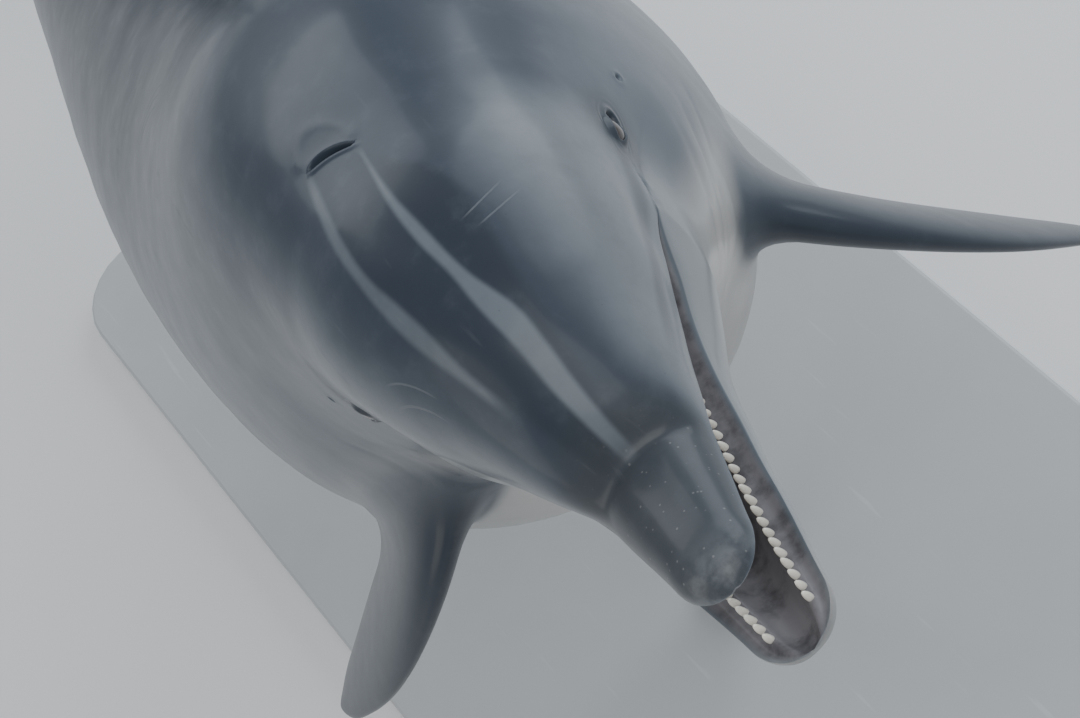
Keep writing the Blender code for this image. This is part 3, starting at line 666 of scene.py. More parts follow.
@dataclass
class Blowhole:
    """The crescent opening on the head, its horns towards the beak."""

    station: float = 0.347
    offset: float = -0.0035
    width: float = 0.0325
    opening: float = 0.006
    skew: float = 0.53
    bow: float = 0.004
    depth: float = 0.011

    def lift(self, points: Array) -> Array:
        """How far the skin rises or sinks around the opening.

        Args:
            points: Straight-laid skin.

        Returns:
            The move along each normal.
        """
        half = self.width / 2
        along = (points[:, 0] - self.offset) / half
        inside = np.clip(along, -1.15, 1.15)
        middle = self.station - self.bow * inside**2 - self.skew * half * inside
        behind = (points[:, 1] - middle) / math.hypot(1, self.skew)
        half_open = self.opening / 2 * np.sqrt(np.clip(1 - along**2, 0, 1)) + 0.0003
        ends = 1 - ramp(np.abs(along), 0.94, 1.1)
        slit = (1 - ramp(np.abs(behind) / half_open, 0.5, 1.15)) * ends
        away = np.abs(behind) - half_open
        lips = bump(away, 0.002, 0.0018) * (1 - ramp(np.abs(along), 0.8, 1.3)) * (1 - slit)
        front = np.where(behind < 0, 0.0007, 0.0001)
        outward = np.hypot(along * self.width / 2 / 1.2, behind - 0.01)
        crescent = bump(outward, 0.015, 0.0042) * ramp(behind, -0.002, 0.01)
        dip = bump(outward, 0.0, 0.01) * ramp(behind, 0.0, 0.006)
        rise = -self.depth * slit + front * lips + 0.0006 * crescent - 0.0007 * dip
        return np.where(points[:, 2] > 0.08, rise, 0.0)


@dataclass
class Creases:
    """Small folds, slits and dimples of the body; the throat creases under the bent neck."""

    mouth_corner: Pair = (0.287, 0.017)
    ear: Pair = (0.398, 0.028)
    throat: tuple[Triple, ...] = ((0.405, 0.0011, 0.1), (0.438, 0.0014, 0.16), (0.476, 0.001, 0.2))
    navel_station: float = 1.24
    genital: Pair = (1.6, 1.74)
    anal: Pair = (1.785, 1.825)

    def belly_slit(self, rest: Array, sine: Array, ends: Pair, depth: float, half_width: float) -> Array:
        """A lengthways slit on the midline of the belly.

        Args:
            rest: Straight-laid skin.
            sine: Height of each direction.
            ends: First and last station of the slit.
            depth: How deep it is.
            half_width: Half its width at the middle.

        Returns:
            The move along each normal.
        """
        share = np.clip((rest[:, 1] - ends[0]) / (ends[1] - ends[0]), 0, 1)
        lens = np.sqrt(np.clip(4 * share * (1 - share), 0, 1))
        width = half_width * lens + 1e-5
        inside = ramp(lens, 0.1, 0.6)
        across = np.abs(rest[:, 0])
        cut = (1 - ramp(across / width, 0.2, 1.3)) * inside
        lips = bump(across, half_width * 2.1, half_width * 1.1) * inside
        return np.where(sine < -0.5, -depth * cut + 0.0012 * lips, 0.0)

    def lift(self, rest: Array, sine: Array) -> Array:
        """All these details together.

        Args:
            rest: Straight-laid skin with the jaw shut.
            sine: Height of each direction.

        Returns:
            The move along each normal.
        """
        total, low = np.zeros(len(rest)), ramp(-sine, 0.05, 0.55)
        for station, depth, slope in self.throat:
            line = station + slope * np.abs(rest[:, 0]) * (1 - low) - 0.015 * low
            total -= depth * bump(rest[:, 1], line, 0.0065) * low
        total += self.belly_slit(rest, sine, self.genital, 0.006, 0.003)
        total += self.belly_slit(rest, sine, self.anal, 0.005, 0.0022)
        navel = np.hypot(rest[:, 0] / 0.8, rest[:, 1] - self.navel_station)
        pit = -0.0035 * bump(navel, 0, 0.01) + 0.0008 * bump(navel, 0.02, 0.007)
        total += np.where(sine < -0.5, pit, 0)
        ear = np.hypot(rest[:, 1] - self.ear[0], rest[:, 2] - self.ear[1])
        pit = -0.003 * bump(ear, 0, 0.0018) + 0.0004 * bump(ear, 0.0045, 0.002)
        total += np.where(np.abs(rest[:, 0]) > 0.06, pit, 0)
        back, up = rest[:, 1] - self.mouth_corner[0], rest[:, 2] - self.mouth_corner[1]
        fold = bump(up - 0.3 * back - 4.0 * back**2, 0, 0.002)
        fold = fold * ramp(back, -0.004, 0.004) * (1 - ramp(back, 0.012, 0.034))
        total += np.where(np.abs(rest[:, 0]) > 0.05, -0.0018 * fold, 0)
        return total

    def swell(self, rest: Array) -> Array:
        """Slow shallow waves of the flesh, always inward.

        Args:
            rest: Straight-laid skin.

        Returns:
            The move along each normal.
        """
        x, y, z = rest.T
        waves = (np.sin(31 * y + 17 * x + 1.3) * np.cos(27 * z - 9 * y)
                 + 0.6 * np.sin(58 * y - 41 * x + 0.4) * np.sin(49 * z + 2.0)
                 + 0.35 * np.sin(104 * x + 71 * y + 83 * z))
        return 0.00035 * (waves - 1.95)


# ---- the skin


@dataclass
class Skin:
    """The closed skin of body, jaws and mouth, without the fins."""

    spine: Spine
    form: BodyForm
    eye: EyeForm
    blowhole: Blowhole
    creases: Creases
    upper_columns: int = 90
    lower_columns: int = 62
    mouth_columns: int = 40
    inset: float = 0.0005
    tip_inset: float = 0.0028
    tip_calm: Pair = (0.0022, 0.0085)
    calm_rounds: int = 10
    lip_rounds: int = 12
    tail_close: float = 2.6
    tail_core: float = 0.01

    def stations(self) -> Array:
        """Where the rows lie: close at the beak, wide along the trunk.

        Returns:
            The stations, tip first.
        """
        tip_end, tip_rows = 0.022, 12
        rows = [tip_end * (i / tip_rows) ** 2 for i in range(tip_rows + 1)]
        stretches = ((0.095, 0.0035), (0.13, 0.00125), (self.form.gape, 0.003), (0.31, 0.002),
                     (0.37, 0.0026), (0.45, 0.004), (0.62, 0.007), (2.3, 0.015), (self.form.end, 0.011))
        for end, step in stretches:
            count = max(1, round((end - rows[-1]) / step))
            start = rows[-1]
            rows += [start + (end - start) * (k + 1) / count for k in range(count)]
        return np.array(rows)

    def arch(self, count: int, crowding: float) -> Array:
        """Angles from 0 to pi, closer together at both ends."""
        share = np.linspace(0, 1, count + 1)
        return math.pi * (share - crowding * np.sin(2 * math.pi * share) / (2 * math.pi))

    def mouth_rows(self, stations: Array, lower: bool) -> Arrays:
        """The palate or the mouth's floor with the jaw shut: lip rim, gum and hollow.

        Args:
            stations: Rows, none behind the corner of the mouth.
            lower: True for the floor.

        Returns:
            The points, left to right in each row, and how far each lies inside the lip.
        """
        form = self.form
        share = np.linspace(0, 1, self.mouth_columns + 1)
        across = 0.5 * np.cos(math.pi * share) + 0.5 * (1 - 2 * share)
        s = stations[:, None]
        fade = 1 - ramp(s, form.gape - 0.04, form.gape)
        if lower:
            width = form.lower_radius(s, math.pi)
            depth = -form.mouth_floor(s) * fade
        else:
            width = form.upper_radius(s, 0.0)
            depth = 0.3 * form.beak_top(s) * round_nose(s, 0.06) * fade
        x = width * across
        within = width - np.abs(x)
        gum_line = np.minimum(form.gum_inset, width * form.gum_share)
        room = np.maximum(width - gum_line * 1.2, 1e-6)
        hollow = np.clip(1 - (x / room) ** 2, 0, 1) ** 0.85
        way = -1.0 if lower else 1.0
        step = np.minimum(form.gum_step, width * 0.1) * ramp(within, 0, 0.006)
        ridge = 0.0018 * bump(within, gum_line * 0.52, gum_line * 0.2)
        ridge = ridge - 0.0011 * bump(within, gum_line, 0.0032)
        rib = 0.0006 * np.sin(2 * math.pi * s / 0.009) * hollow * (0.0 if lower else 1.0)
        z = form.widest(s) + way * (step + ridge * ramp(s, 0.0, 0.02)) * fade + hollow * depth + rib * fade
        ahead = form.chin_ahead(s) if lower else 0.0
        return np.stack([x, s - ahead + 0 * x, z], -1), within

    def round_lips(self, arch: Array, lining: Array, stations: Array) -> Arrays:
        """Rounds the edge where the outer skin turns into the mouth.

        Args:
            arch: Rows of the outer skin, lip to lip.
            lining: Rows of the mouth, running back from the arch's end to its start.
            stations: Station of each row.

        Returns:
            Both sets of rows, with a rounded lip.
        """
        ring = np.concatenate([arch, lining[:, 1:-1]], axis=1)
        count, corner = ring.shape[1], arch.shape[1] - 1
        place = np.arange(count)
        near = np.minimum(np.minimum(place, count - place), np.abs(place - corner))
        weight = (1 - ramp(near, 3, 9))[None, :, None]
        ahead = 1 - ramp(stations, self.form.gape - 0.03, self.form.gape - 0.004)
        weight = weight * ahead[:, None, None]
        for _ in range(self.lip_rounds):
            mean = (np.roll(ring, 1, axis=1) + np.roll(ring, -1, axis=1)) / 2
            moved = ring + 0.5 * weight * (mean - ring)
            moved[..., 1] = ring[..., 1]
            ring = moved
        inner = np.concatenate([ring[:, corner:corner + 1], ring[:, corner + 1:], ring[:, :1]], axis=1)
        return ring[:, :corner + 1], inner

    def straight_grid(self) -> Object:
        """The skin of body and mouth, laid out straight.

        Returns:
            A closed mesh that keeps its shape with the jaw shut and its parameters.
        """
        form, stations = self.form, self.stations()
        mouth = int(np.argmin(np.abs(stations - form.gape))) + 1
        up = self.arch(self.upper_columns, 0.35)
        down = math.pi + self.arch(self.lower_columns, 0.3)
        sheets = []
        for lower, angles in ((False, up), (True, down)):
            s, angle = np.meshgrid(stations, angles, indexing="ij")
            below = np.full(s.shape, lower)
            rest = form.surface(s, np.cos(angle), np.sin(angle), below)
            lining, within = self.mouth_rows(stations[:mouth], lower)
            forward = lining if lower else lining[:, ::-1]
            arch, inner = self.round_lips(rest[:mouth], forward, stations[:mouth])
            rest[:mouth] = arch
            lining = inner if lower else inner[:, ::-1]
            share = form.jaw_share(s, np.sin(angle), below)
            param = np.stack([s, np.cos(angle), np.sin(angle)], -1)
            sheets.append((rest, form.dropped(rest, share), param, below.astype(float), 0 * s))
            s = np.broadcast_to(stations[:mouth, None], within.shape)
            share = form.jaw_share(s, 0.0, np.full(s.shape, lower))
            param = np.stack([s, np.sign(lining[..., 0]), 0 * s], -1)
            number = np.full(s.shape, 2.0 + lower)
            sheets.append((lining, form.dropped(lining, share), param, number, within))
        faces, start = [], 0
        for _, points, *_ in sheets:
            faces += grid_faces(start, points.shape[0], points.shape[1])
            start += points.shape[0] * points.shape[1]
        columns = list(zip(*sheets))
        rest, points, param = (np.concatenate([p.reshape(-1, 3) for p in parts]) for parts in columns[:3])
        number, within = (np.concatenate([p.ravel() for p in parts]) for parts in columns[3:])
        body = new_mesh_object("dolphin_skin", points, faces)
        store(body.data, rest=rest, param=param, sheet=number, lining=ramp(within, 0.0015, 0.007))
        weld(body.data)
        return body

    def refine(self, mesh: Mesh) -> None:
        """Splits the faces finer where small details lie.

        Args:
            mesh: The straight-laid skin.
        """
        hole, eye_place = self.blowhole, (self.eye.station, self.eye.height)

        def beside(place: Pair, reach: float) -> PlaceTest:
            """Tests for points near a place on either side of the head."""
            return lambda p: abs(p.x) > 0.07 and math.hypot(p.y - place[0], p.z - place[1]) < reach

        def by_hole(reach: float) -> PlaceTest:
            """Tests for points near the blowhole."""
            left, at = hole.offset, hole.station
            return lambda p: p.z > 0.08 and math.hypot((p.x - left) * 0.75, p.y - at) < reach

        def by_belly(start: float, end: float, reach: float) -> PlaceTest:
            """Tests for points along the belly's midline."""
            return lambda p: p.z < -0.03 and abs(p.x) < reach and start < p.y < end

        def by_dorsal(reach: float) -> PlaceTest:
            """Tests for points under the dorsal fin."""
            return lambda p: abs(p.x) < reach and p.z > 0.15 and 1.13 < p.y < 1.62

        def by_flipper(p: Vector) -> bool:
            """Tests for points round the root of a flipper."""
            return abs(p.x) > 0.06 and -0.25 < p.z < -0.04 and 0.47 < p.y < 0.76

        ear = self.creases.ear
        passes = (
            (beside(eye_place, 0.029), by_hole(0.034), beside(ear, 0.008), by_belly(1.58, 1.84, 0.02),
             by_belly(1.22, 1.26, 0.02), by_flipper, by_dorsal(0.045)),
            (beside(eye_place, 0.02), by_hole(0.024), beside(ear, 0.005), by_belly(1.59, 1.83, 0.012),
             by_dorsal(0.034)),
            (by_hole(0.0165), beside(ear, 0.003)),
        )
        work = bmesh.new()
        work.from_mesh(mesh)
        for tests in passes:
            edges = set()
            for face in work.faces:
                centre = face.calc_center_median()
                if any(test(centre) for test in tests):
                    edges.update(face.edges)
            bmesh.ops.subdivide_edges(work, edges=list(edges), cuts=1, use_grid_fill=True)
        bmesh.ops.triangulate(work, faces=[f for f in work.faces if len(f.verts) > 4])
        work.to_mesh(mesh)
        work.free()

    def reread(self, mesh: Mesh) -> None:
        """Puts the split faces back onto the true surface.

        Args:
            mesh: The straight-laid skin after refine().
        """
        form = self.form
        param, sheet = recall(mesh, "param"), recall(mesh, "sheet")
        rest, points = recall(mesh, "rest"), coordinates(mesh)
        chosen = (sheet < 1.5) & (param[:, 0] > form.gape + 0.002)
        station, cosine, sine = param[chosen].T
        lower = sine < 0
        rest[chosen] = form.surface(station, cosine, sine, lower)
        length = np.hypot(cosine, sine)
        share = form.jaw_share(station, sine / np.maximum(length, 1e-6), lower)
        points[chosen] = form.dropped(rest[chosen], share)
        set_coordinates(mesh, points)
        store(mesh, rest=rest)

    def inset_at(self, station: Array, sine: Array) -> Array:
        """How far the skin lies inside the solids: more where their facets cut the curve short."""
        return self.inset + 0.0012 * bump(station, 0.27, 0.14) * ramp(sine, 0.2, 0.8)

    def body(self) -> Object:
        """Makes the posed skin, with lids, blowhole and creases.

        Returns:
            A closed mesh with the finish's attributes.
        """
        piece = self.straight_grid()
        mesh = piece.data
        self.refine(mesh)
        self.reread(mesh)
        rest, param, lining = recall(mesh, "rest"), recall(mesh, "param"), recall(mesh, "lining")
        sine = param[:, 2] / np.maximum(np.hypot(param[:, 1], param[:, 2]), 1e-6)
        outside = 1 - lining
        points, normals = coordinates(mesh), numbers(mesh.vertex_normals, "vector")
        lift = self.blowhole.lift(rest) + self.creases.lift(rest, sine) + self.creases.swell(rest)
        points = points + normals * (lift * outside - self.inset_at(rest[:, 1], sine))[:, None]
        points[:, 1] += self.tip_inset * (1 - ramp(rest[:, 1], -0.012, 0.03))
        points = self.eye.shape_lids(points)
        calm = 0.7 * (1 - ramp(param[:, 0], *self.tip_calm))
        edges = edges_at(mesh, calm > 0)
        for _ in range(self.calm_rounds):
            points = evened(points, edges, calm)
        closing = np.clip((rest[:, 1] - self.tail_close) / (self.form.end - self.tail_close), 0, 1)
        core = np.stack([0 * sine, rest[:, 1], 0 * sine + self.tail_core], 1)
        points = core + (points - core) * np.sqrt(np.clip(1 - closing**2, 0, 1))[:, None]
        set_coordinates(mesh, self.spine.pose(points))
        store(mesh, tone=sine, fin=0 * sine)
        weld(mesh)
        return piece


# ---- fins


@dataclass
class FinForm:
    """A fin: its edges and thickness, how it lies, and how it meets the body."""

    name: str
    front_knots: Knots
    rear_knots: Knots
    thick_knots: Knots
    root: float
    station: float
    tones: Pair
    blend: float
    sides: int = 52
    tip_round: float = 0.03
    tip_share: float = 0.1
    tip_rows: int = 14

    def tip_spans(self) -> Array:
        """Spans of the last sections, crowded towards the tip."""
        return 1 - self.tip_share * (1 - np.arange(1, self.tip_rows + 1) / self.tip_rows) ** 2

    def spans(self) -> Array:
        """Where the sections lie, from the root to the tip."""
        return np.concatenate([np.linspace(self.root, 1 - self.tip_share, 46), self.tip_spans()])

    def place(self, span: float, chord: Array, across: Array) -> Array:
        """Straight-laid points of one section; each kind of fin has its own."""
        raise NotImplementedError

    def rows(self) -> Arrays:
        """Sections of the fin, round in front and thin behind.

        Returns:
            Straight-laid points, a row for each span, and their place across the section.
        """
        spans = self.spans()
        front, rear, thick = (SmoothCurve(k) for k in (self.front_knots, self.rear_knots, self.thick_knots))
        both_ways = spans[0] == -1.0
        reach = np.abs(spans)[:, None] if both_ways else spans[:, None]
        turn = np.linspace(0, 2 * math.pi, self.sides, endpoint=False)
        angle = turn - 0.15 * np.sin(2 * turn)
        share = (1 - np.cos(angle)) / 2
        body = 1.27 * np.sin(angle) * (1 - share) ** 0.45
        near, far = front(reach), rear(reach)
        outer = np.clip((reach - 1 + self.tip_round) / self.tip_round, 0, 1)
        close = np.sqrt(np.clip(1 - outer**2, 0, 1))
        middle = (near + far) / 2
        chord = middle + (near + (far - near) * share - middle) * close
        across = (thick(reach) / 2 * body + 0.0005 * np.sin(angle)) * close
        return np.stack([self.place(s, c, a) for s, c, a in zip(spans, chord, across)]), across

    def shell(self, spine: Spine) -> Object:
        """The fin as a closed shell in the room, its root inside the body.

        Args:
            spine: Spine that carries it.

        Returns:
            The shell, with the finish's attributes.
        """
        rest, across = self.rows()
        faces = tube_faces(*rest.shape[:2])
        rest, side = rest.reshape(-1, 3), np.tanh(across / 0.002).ravel()
        shell = new_mesh_object(self.name, spine.pose(rest, self.station), faces)
        tone = self.tones[0] * (1 + side) / 2 + self.tones[1] * (1 - side) / 2
        store(shell.data, rest=rest, tone=tone, fin=np.ones(side.size), lining=np.zeros(side.size))
        weld(shell.data)
        return shell


@dataclass
class Flipper(FinForm):
    """A flipper held out and down from the chest."""

    length: float = 0.365
    foot: Triple = (0.156, 0.52, -0.158)
    span_way: Triple = (0.6, 0.235, -0.765)
    chord_way: Triple = (0.045, 0.945, 0.325)
    mirror: float = 1.0

    def place(self, span: float, chord: Array, across: Array) -> Array:
        """Lays out one section.

        Args:
            span: Share of the way from the foot to the tip.
            chord: Places along the section, front to rear.
            across: Places across it.

        Returns:
            Straight-laid points.
        """
        outward = np.array(self.span_way) / np.linalg.norm(self.span_way)
        backward = np.array(self.chord_way) - outward * (np.array(self.chord_way) @ outward)
        backward /= np.linalg.norm(backward)
        flat = np.cross(outward, backward)
        points = np.array(self.foot) + outward * span * self.length
        points = points + np.outer(chord, backward) + np.outer(across, flat)
        return points * [self.mirror, 1, 1]


@dataclass
class DorsalFin(FinForm):
    """The fin of the back, swept to the rear."""

    height: float = 0.262
    foot: float = 0.243

    def place(self, span: float, chord: Array, across: Array) -> Array:
        """Straight-laid points of one section."""
        return np.stack([across, chord, np.full_like(chord, self.foot + span * self.height)], 1)


@dataclass
class Flukes(FinForm):
    """Both halves of the tail in one sweep, with the notch between them."""

    half_span: float = 0.35
    level: float = 0.012
    droop: float = 0.03

    def spans(self) -> Array:
        """From one tip to the other."""
        half = np.concatenate([(1 - self.tip_share) * np.linspace(0, 1, 40) ** 1.15, self.tip_spans()])
        return np.concatenate([-half[:0:-1], half])

    def place(self, span: float, chord: Array, across: Array) -> Array:
        """Straight-laid points of one section."""
        rise = self.droop * span**2
        return np.stack([np.full_like(chord, span * self.half_span), chord, self.level + across - rise], 1)


FLIPPER_EDGES = (
    ((-0.3, 0.006), (0.0, 0.0), (0.15, 0.002), (0.3, 0.012), (0.5, 0.037), (0.7, 0.077), (0.85, 0.117),
     (0.95, 0.151), (1.0, 0.176)),
    ((-0.3, 0.178), (0.0, 0.152), (0.12, 0.14), (0.25, 0.139), (0.4, 0.148), (0.6, 0.165), (0.8, 0.181),
     (0.93, 0.189), (1.0, 0.187)),
    ((-0.3, 0.046), (0.0, 0.04), (0.3, 0.029), (0.6, 0.019), (0.85, 0.011), (1.0, 0.006)),
)
DORSAL_EDGES = (
    ((-0.3, 1.09), (0.0, 1.18), (0.2, 1.244), (0.4, 1.304), (0.6, 1.364), (0.8, 1.434), (0.92, 1.489),
     (1.0, 1.54)),
    ((-0.3, 1.64), (0.0, 1.565), (0.2, 1.493), (0.4, 1.463), (0.6, 1.464), (0.8, 1.494), (0.92, 1.528),
     (1.0, 1.549)),
    ((-0.3, 0.06), (0.0, 0.05), (0.3, 0.034), (0.7, 0.019), (1.0, 0.007)),
)
FLUKE_EDGES = (
    ((0.0, 2.475), (0.12, 2.525), (0.3, 2.58), (0.5, 2.64), (0.7, 2.706), (0.85, 2.762), (0.95, 2.804),
     (1.0, 2.832)),
    ((0.0, 2.722), (0.05, 2.748), (0.12, 2.766), (0.25, 2.776), (0.4, 2.782), (0.6, 2.793), (0.8, 2.812),
     (0.93, 2.832), (1.0, 2.84)),
    ((0.0, 0.052), (0.15, 0.04), (0.4, 0.024), (0.75, 0.013), (1.0, 0.006)),
)


def all_fins() -> list[FinForm]:
    """Sizes of the dorsal fin, both flippers and the flukes.

    Returns:
        The fins, in the order in which they join the body.
    """
    alike = {"root": -0.25, "station": 0.6, "tones": (0.1, 0.62), "blend": 0.042}
    left = Flipper("flipper_left_shell", *FLIPPER_EDGES, **alike)
    right = Flipper("flipper_right_shell", *FLIPPER_EDGES, **alike, span_way=(0.65, 0.573, -0.5),
                    chord_way=(-0.28, 0.79, 0.545), mirror=-1.0)
    dorsal = DorsalFin("dorsal_shell", *DORSAL_EDGES, root=-0.25, station=1.36, tones=(0.9, 0.9),
                       blend=0.05)
    flukes = Flukes("fluke_shell", *FLUKE_EDGES, root=0.0, station=2.6, tones=(0.85, 0.25), blend=0.03)
    return [dorsal, left, right, flukes]


@dataclass
class Fillet:
    """Turns the sharp line between a fin and the body into a soft hollow."""

    body: BVHTree
    fin: BVHTree
    width: float
    rounds: int = 5
    last_rounds: int = 4
    evening: float = 0.6
    longest_move: float = 0.5
    touching: float = 1e-4
    straight: float = 0.99

    def distance(self, tree: BVHTree, points: Array) -> Arrays:
        """How far points stand outside a closed form.

        Args:
            tree: Finder for the form's surface.
            points: Points near it.

        Returns:
            Signed distances, and directions away from the form.
        """
        far, ways = np.empty(len(points)), np.empty((len(points), 3))
        for i, point in enumerate(points):
            spot, normal, _, gap = tree.find_nearest(Vector(point))
            away = Vector(point) - spot
            slope = away.dot(normal)
            side = 1.0 if slope >= 0 else -1.0
            if gap > self.touching and abs(slope) < self.straight * gap:
                side = -1.0 if self.inside(tree, Vector(point)) else 1.0
            far[i] = side * gap
            ways[i] = side * away / gap if gap > self.touching / 10 else normal
        return far, ways

    def inside(self, tree: BVHTree, point: Vector) -> bool:
        """Whether a point lies inside a form, by counting the walls on its way out.

        Args:
            tree: Finder for the form's surface.
            point: The point.

        Returns:
            True inside the form.
        """
        way, walls = Vector((0.37, -0.21, 0.905)).normalized(), 0
        spot = tree.ray_cast(point, way)[0]
        while spot is not None and walls < 12:
            walls += 1
            spot = tree.ray_cast(spot + way * 2e-5, way)[0]
        return walls % 2 == 1

    def pull(self, points: Array, steps: int) -> Array:
        """Moves points onto the rounded union of both forms.

        Args:
            points: Points near the line where they meet.
            steps: How often the move is refined.

        Returns:
            The moved points.
        """
        for _ in range(steps):
            a, way_a = self.distance(self.body, points)
            b, way_b = self.distance(self.fin, points)
            share = np.clip(1 - np.abs(a - b) / self.width, 0, 1)
            value = np.minimum(a, b) - share**2 * self.width / 4
            near_a = np.where(a < b, 1 - share / 2, share / 2)[:, None]
            slope = near_a * way_a + (1 - near_a) * way_b
            points = points - value[:, None] * slope / np.maximum((slope**2).sum(1), 0.05)[:, None]
        return points

    def soften(self, mesh: Mesh) -> Arrays:
        """Rounds the junction on the joined mesh.

        Args:
            mesh: Union of the body and the fin.

        Returns:
            Numbers of the vertices round the junction, and how far each belongs to the fin.
        """
        points = coordinates(mesh)
        near, reach = np.arange(len(points)), self.width * 1.05
        for tree in (self.fin, self.body):
            near = near[[tree.find_nearest(p, reach)[0] is not None for p in points[near].tolist()]]
        chosen = np.zeros(len(points), bool)
        chosen[near] = True
        edges = edges_at(mesh, chosen)
        a, _ = self.distance(self.body, points[near])
        b, _ = self.distance(self.fin, points[near])
        weight = np.zeros(len(points))
        weight[near] = self.evening * ramp(1 - np.abs(a - b) / self.width, 0.0, 0.35)
        start = points[near]
        points[near] = self.pull(points[near], 3)
        for _ in range(self.rounds):
            points = evened(points, edges, weight)
            points[near] = self.pull(points[near], 1)
            move = points[near] - start
            size = np.maximum(np.linalg.norm(move, axis=1), TINY)
            points[near] = start + move * np.minimum(1, self.width * self.longest_move / size)[:, None]
        for _ in range(self.last_rounds):
            points = evened(points, edges, weight)
        set_coordinates(mesh, points)
        return near, ramp((a - b) / self.width, -0.95, 0.95)


SKIN_ATTRIBUTES = ("rest", "tone", "fin", "lining")


@dataclass
class WholeSkin:
    """The body's skin and the fins made one, with soft junctions."""

    skin: Skin
    fins: list[FinForm]

    def read_near(self, source: Mesh, points: Array) -> dict[str, Array]:
        """The finish's attributes at points, from a mesh's nearest vertices.

        Args:
            source: Mesh that holds the attributes.
            points: Points near its surface.

        Returns:
            The values of each attribute.
        """
        old = coordinates(source)
        finder = KDTree(len(old))
        for i, point in enumerate(old):
            finder.insert(point, i)
        finder.balance()
        found = [finder.find_n(point, 3) for point in points]
        number = np.array([[hit[1] for hit in hits] for hits in found])
        weight = 1 / (np.array([[hit[2] for hit in hits] for hits in found]) ** 2 + 1e-12)
        weight /= weight.sum(1, keepdims=True)
        values = {}
        for name in SKIN_ATTRIBUTES:
            near = recall(source, name)[number]
            values[name] = (near * (weight[..., None] if near.ndim == 3 else weight)).sum(1)
        return values

    def build(self) -> Object:
        """Makes the whole skin.

        Returns:
            One closed mesh that stands for every node of flesh.
        """
        body = self.skin.body()
        plain = body.data.copy()
        body_tree = tree_of(body)
        shells = [fin.shell(self.skin.spine) for fin in self.fins]
        for shell in shells:
            union = body.modifiers.new("join_" + shell.name, "BOOLEAN")
            union.operation = "UNION"
            union.object = shell
            union.solver = "MANIFOLD"
        settle(body)
        weld(body.data, 2e-5)
        mesh = body.data
        values = self.read_near(plain, coordinates(mesh))
        joins = []
        for fin, shell in zip(self.fins, shells):
            tree, points = tree_of(shell), coordinates(mesh)
            gap, body_gap = (np.array([finder.find_nearest(point)[3] for point in points.tolist()])
                             for finder in (tree, body_tree))
            own = np.flatnonzero(gap < body_gap)
            for name, new in self.read_near(shell.data, points[own]).items():
                values[name][own] = new
            joins.append((shell.data, *Fillet(body_tree, tree, fin.blend).soften(mesh)))
        points = coordinates(mesh)
        for shell_mesh, near, share in joins:
            on_body, on_fin = self.read_near(plain, points[near]), self.read_near(shell_mesh, points[near])
            for name, value in values.items():
                part = share[:, None] if value.ndim == 2 else share
                value[near] = on_body[name] * (1 - part) + on_fin[name] * part
        store(mesh, **values)
        for spent in shells:
            bpy.data.objects.remove(spent, do_unlink=True)
        return body


# ---- finishes


class NodeBench:
    """Lays out the nodes of one tree."""

    def __init__(self, tree: bpy.types.NodeTree) -> None:
        """Takes the tree that the nodes go into."""
        self.tree = tree

    def feed(self, socket: Socket, value: object) -> None:
        """Links a socket to another, or sets its value.

        Args:
            socket: Input of a node.
            value: Another node's output, or the setting that it takes.
        """
        if isinstance(value, Socket):
            self.tree.links.new(value, socket)
        elif isinstance(value, tuple) and len(socket.default_value) == 4:
            socket.default_value = (*value, 1.0)
        else:
            socket.default_value = value

    def node(self, kind: str, given: dict[str | int, object] | None = None,
             **settings: object) -> bpy.types.Node:
        """Adds a node.

        Args:
            kind: Type of the node.
            given: What its inputs take, by name or number.
            **settings: Its properties.

        Returns:
            The node.
        """
        made = self.tree.nodes.new(kind)
        for key, value in settings.items():
            setattr(made, key, value)
        for key, value in (given or {}).items():
            self.feed(made.inputs[key], value)
        return made

    def calc(self, operation: str, *values: Number) -> Socket:
        """One step of arithmetic on numbers."""
        return self.node("ShaderNodeMath", dict(enumerate(values)), operation=operation).outputs[0]

    def parts(self, vector: Socket) -> list[Socket]:
        """The three numbers of a vector."""
        return list(self.node("ShaderNodeSeparateXYZ", {0: vector}).outputs)

    def vector(self, *numbers: Number) -> Socket:
        """A vector from three numbers."""
        return self.node("ShaderNodeCombineXYZ", dict(enumerate(numbers))).outputs[0]


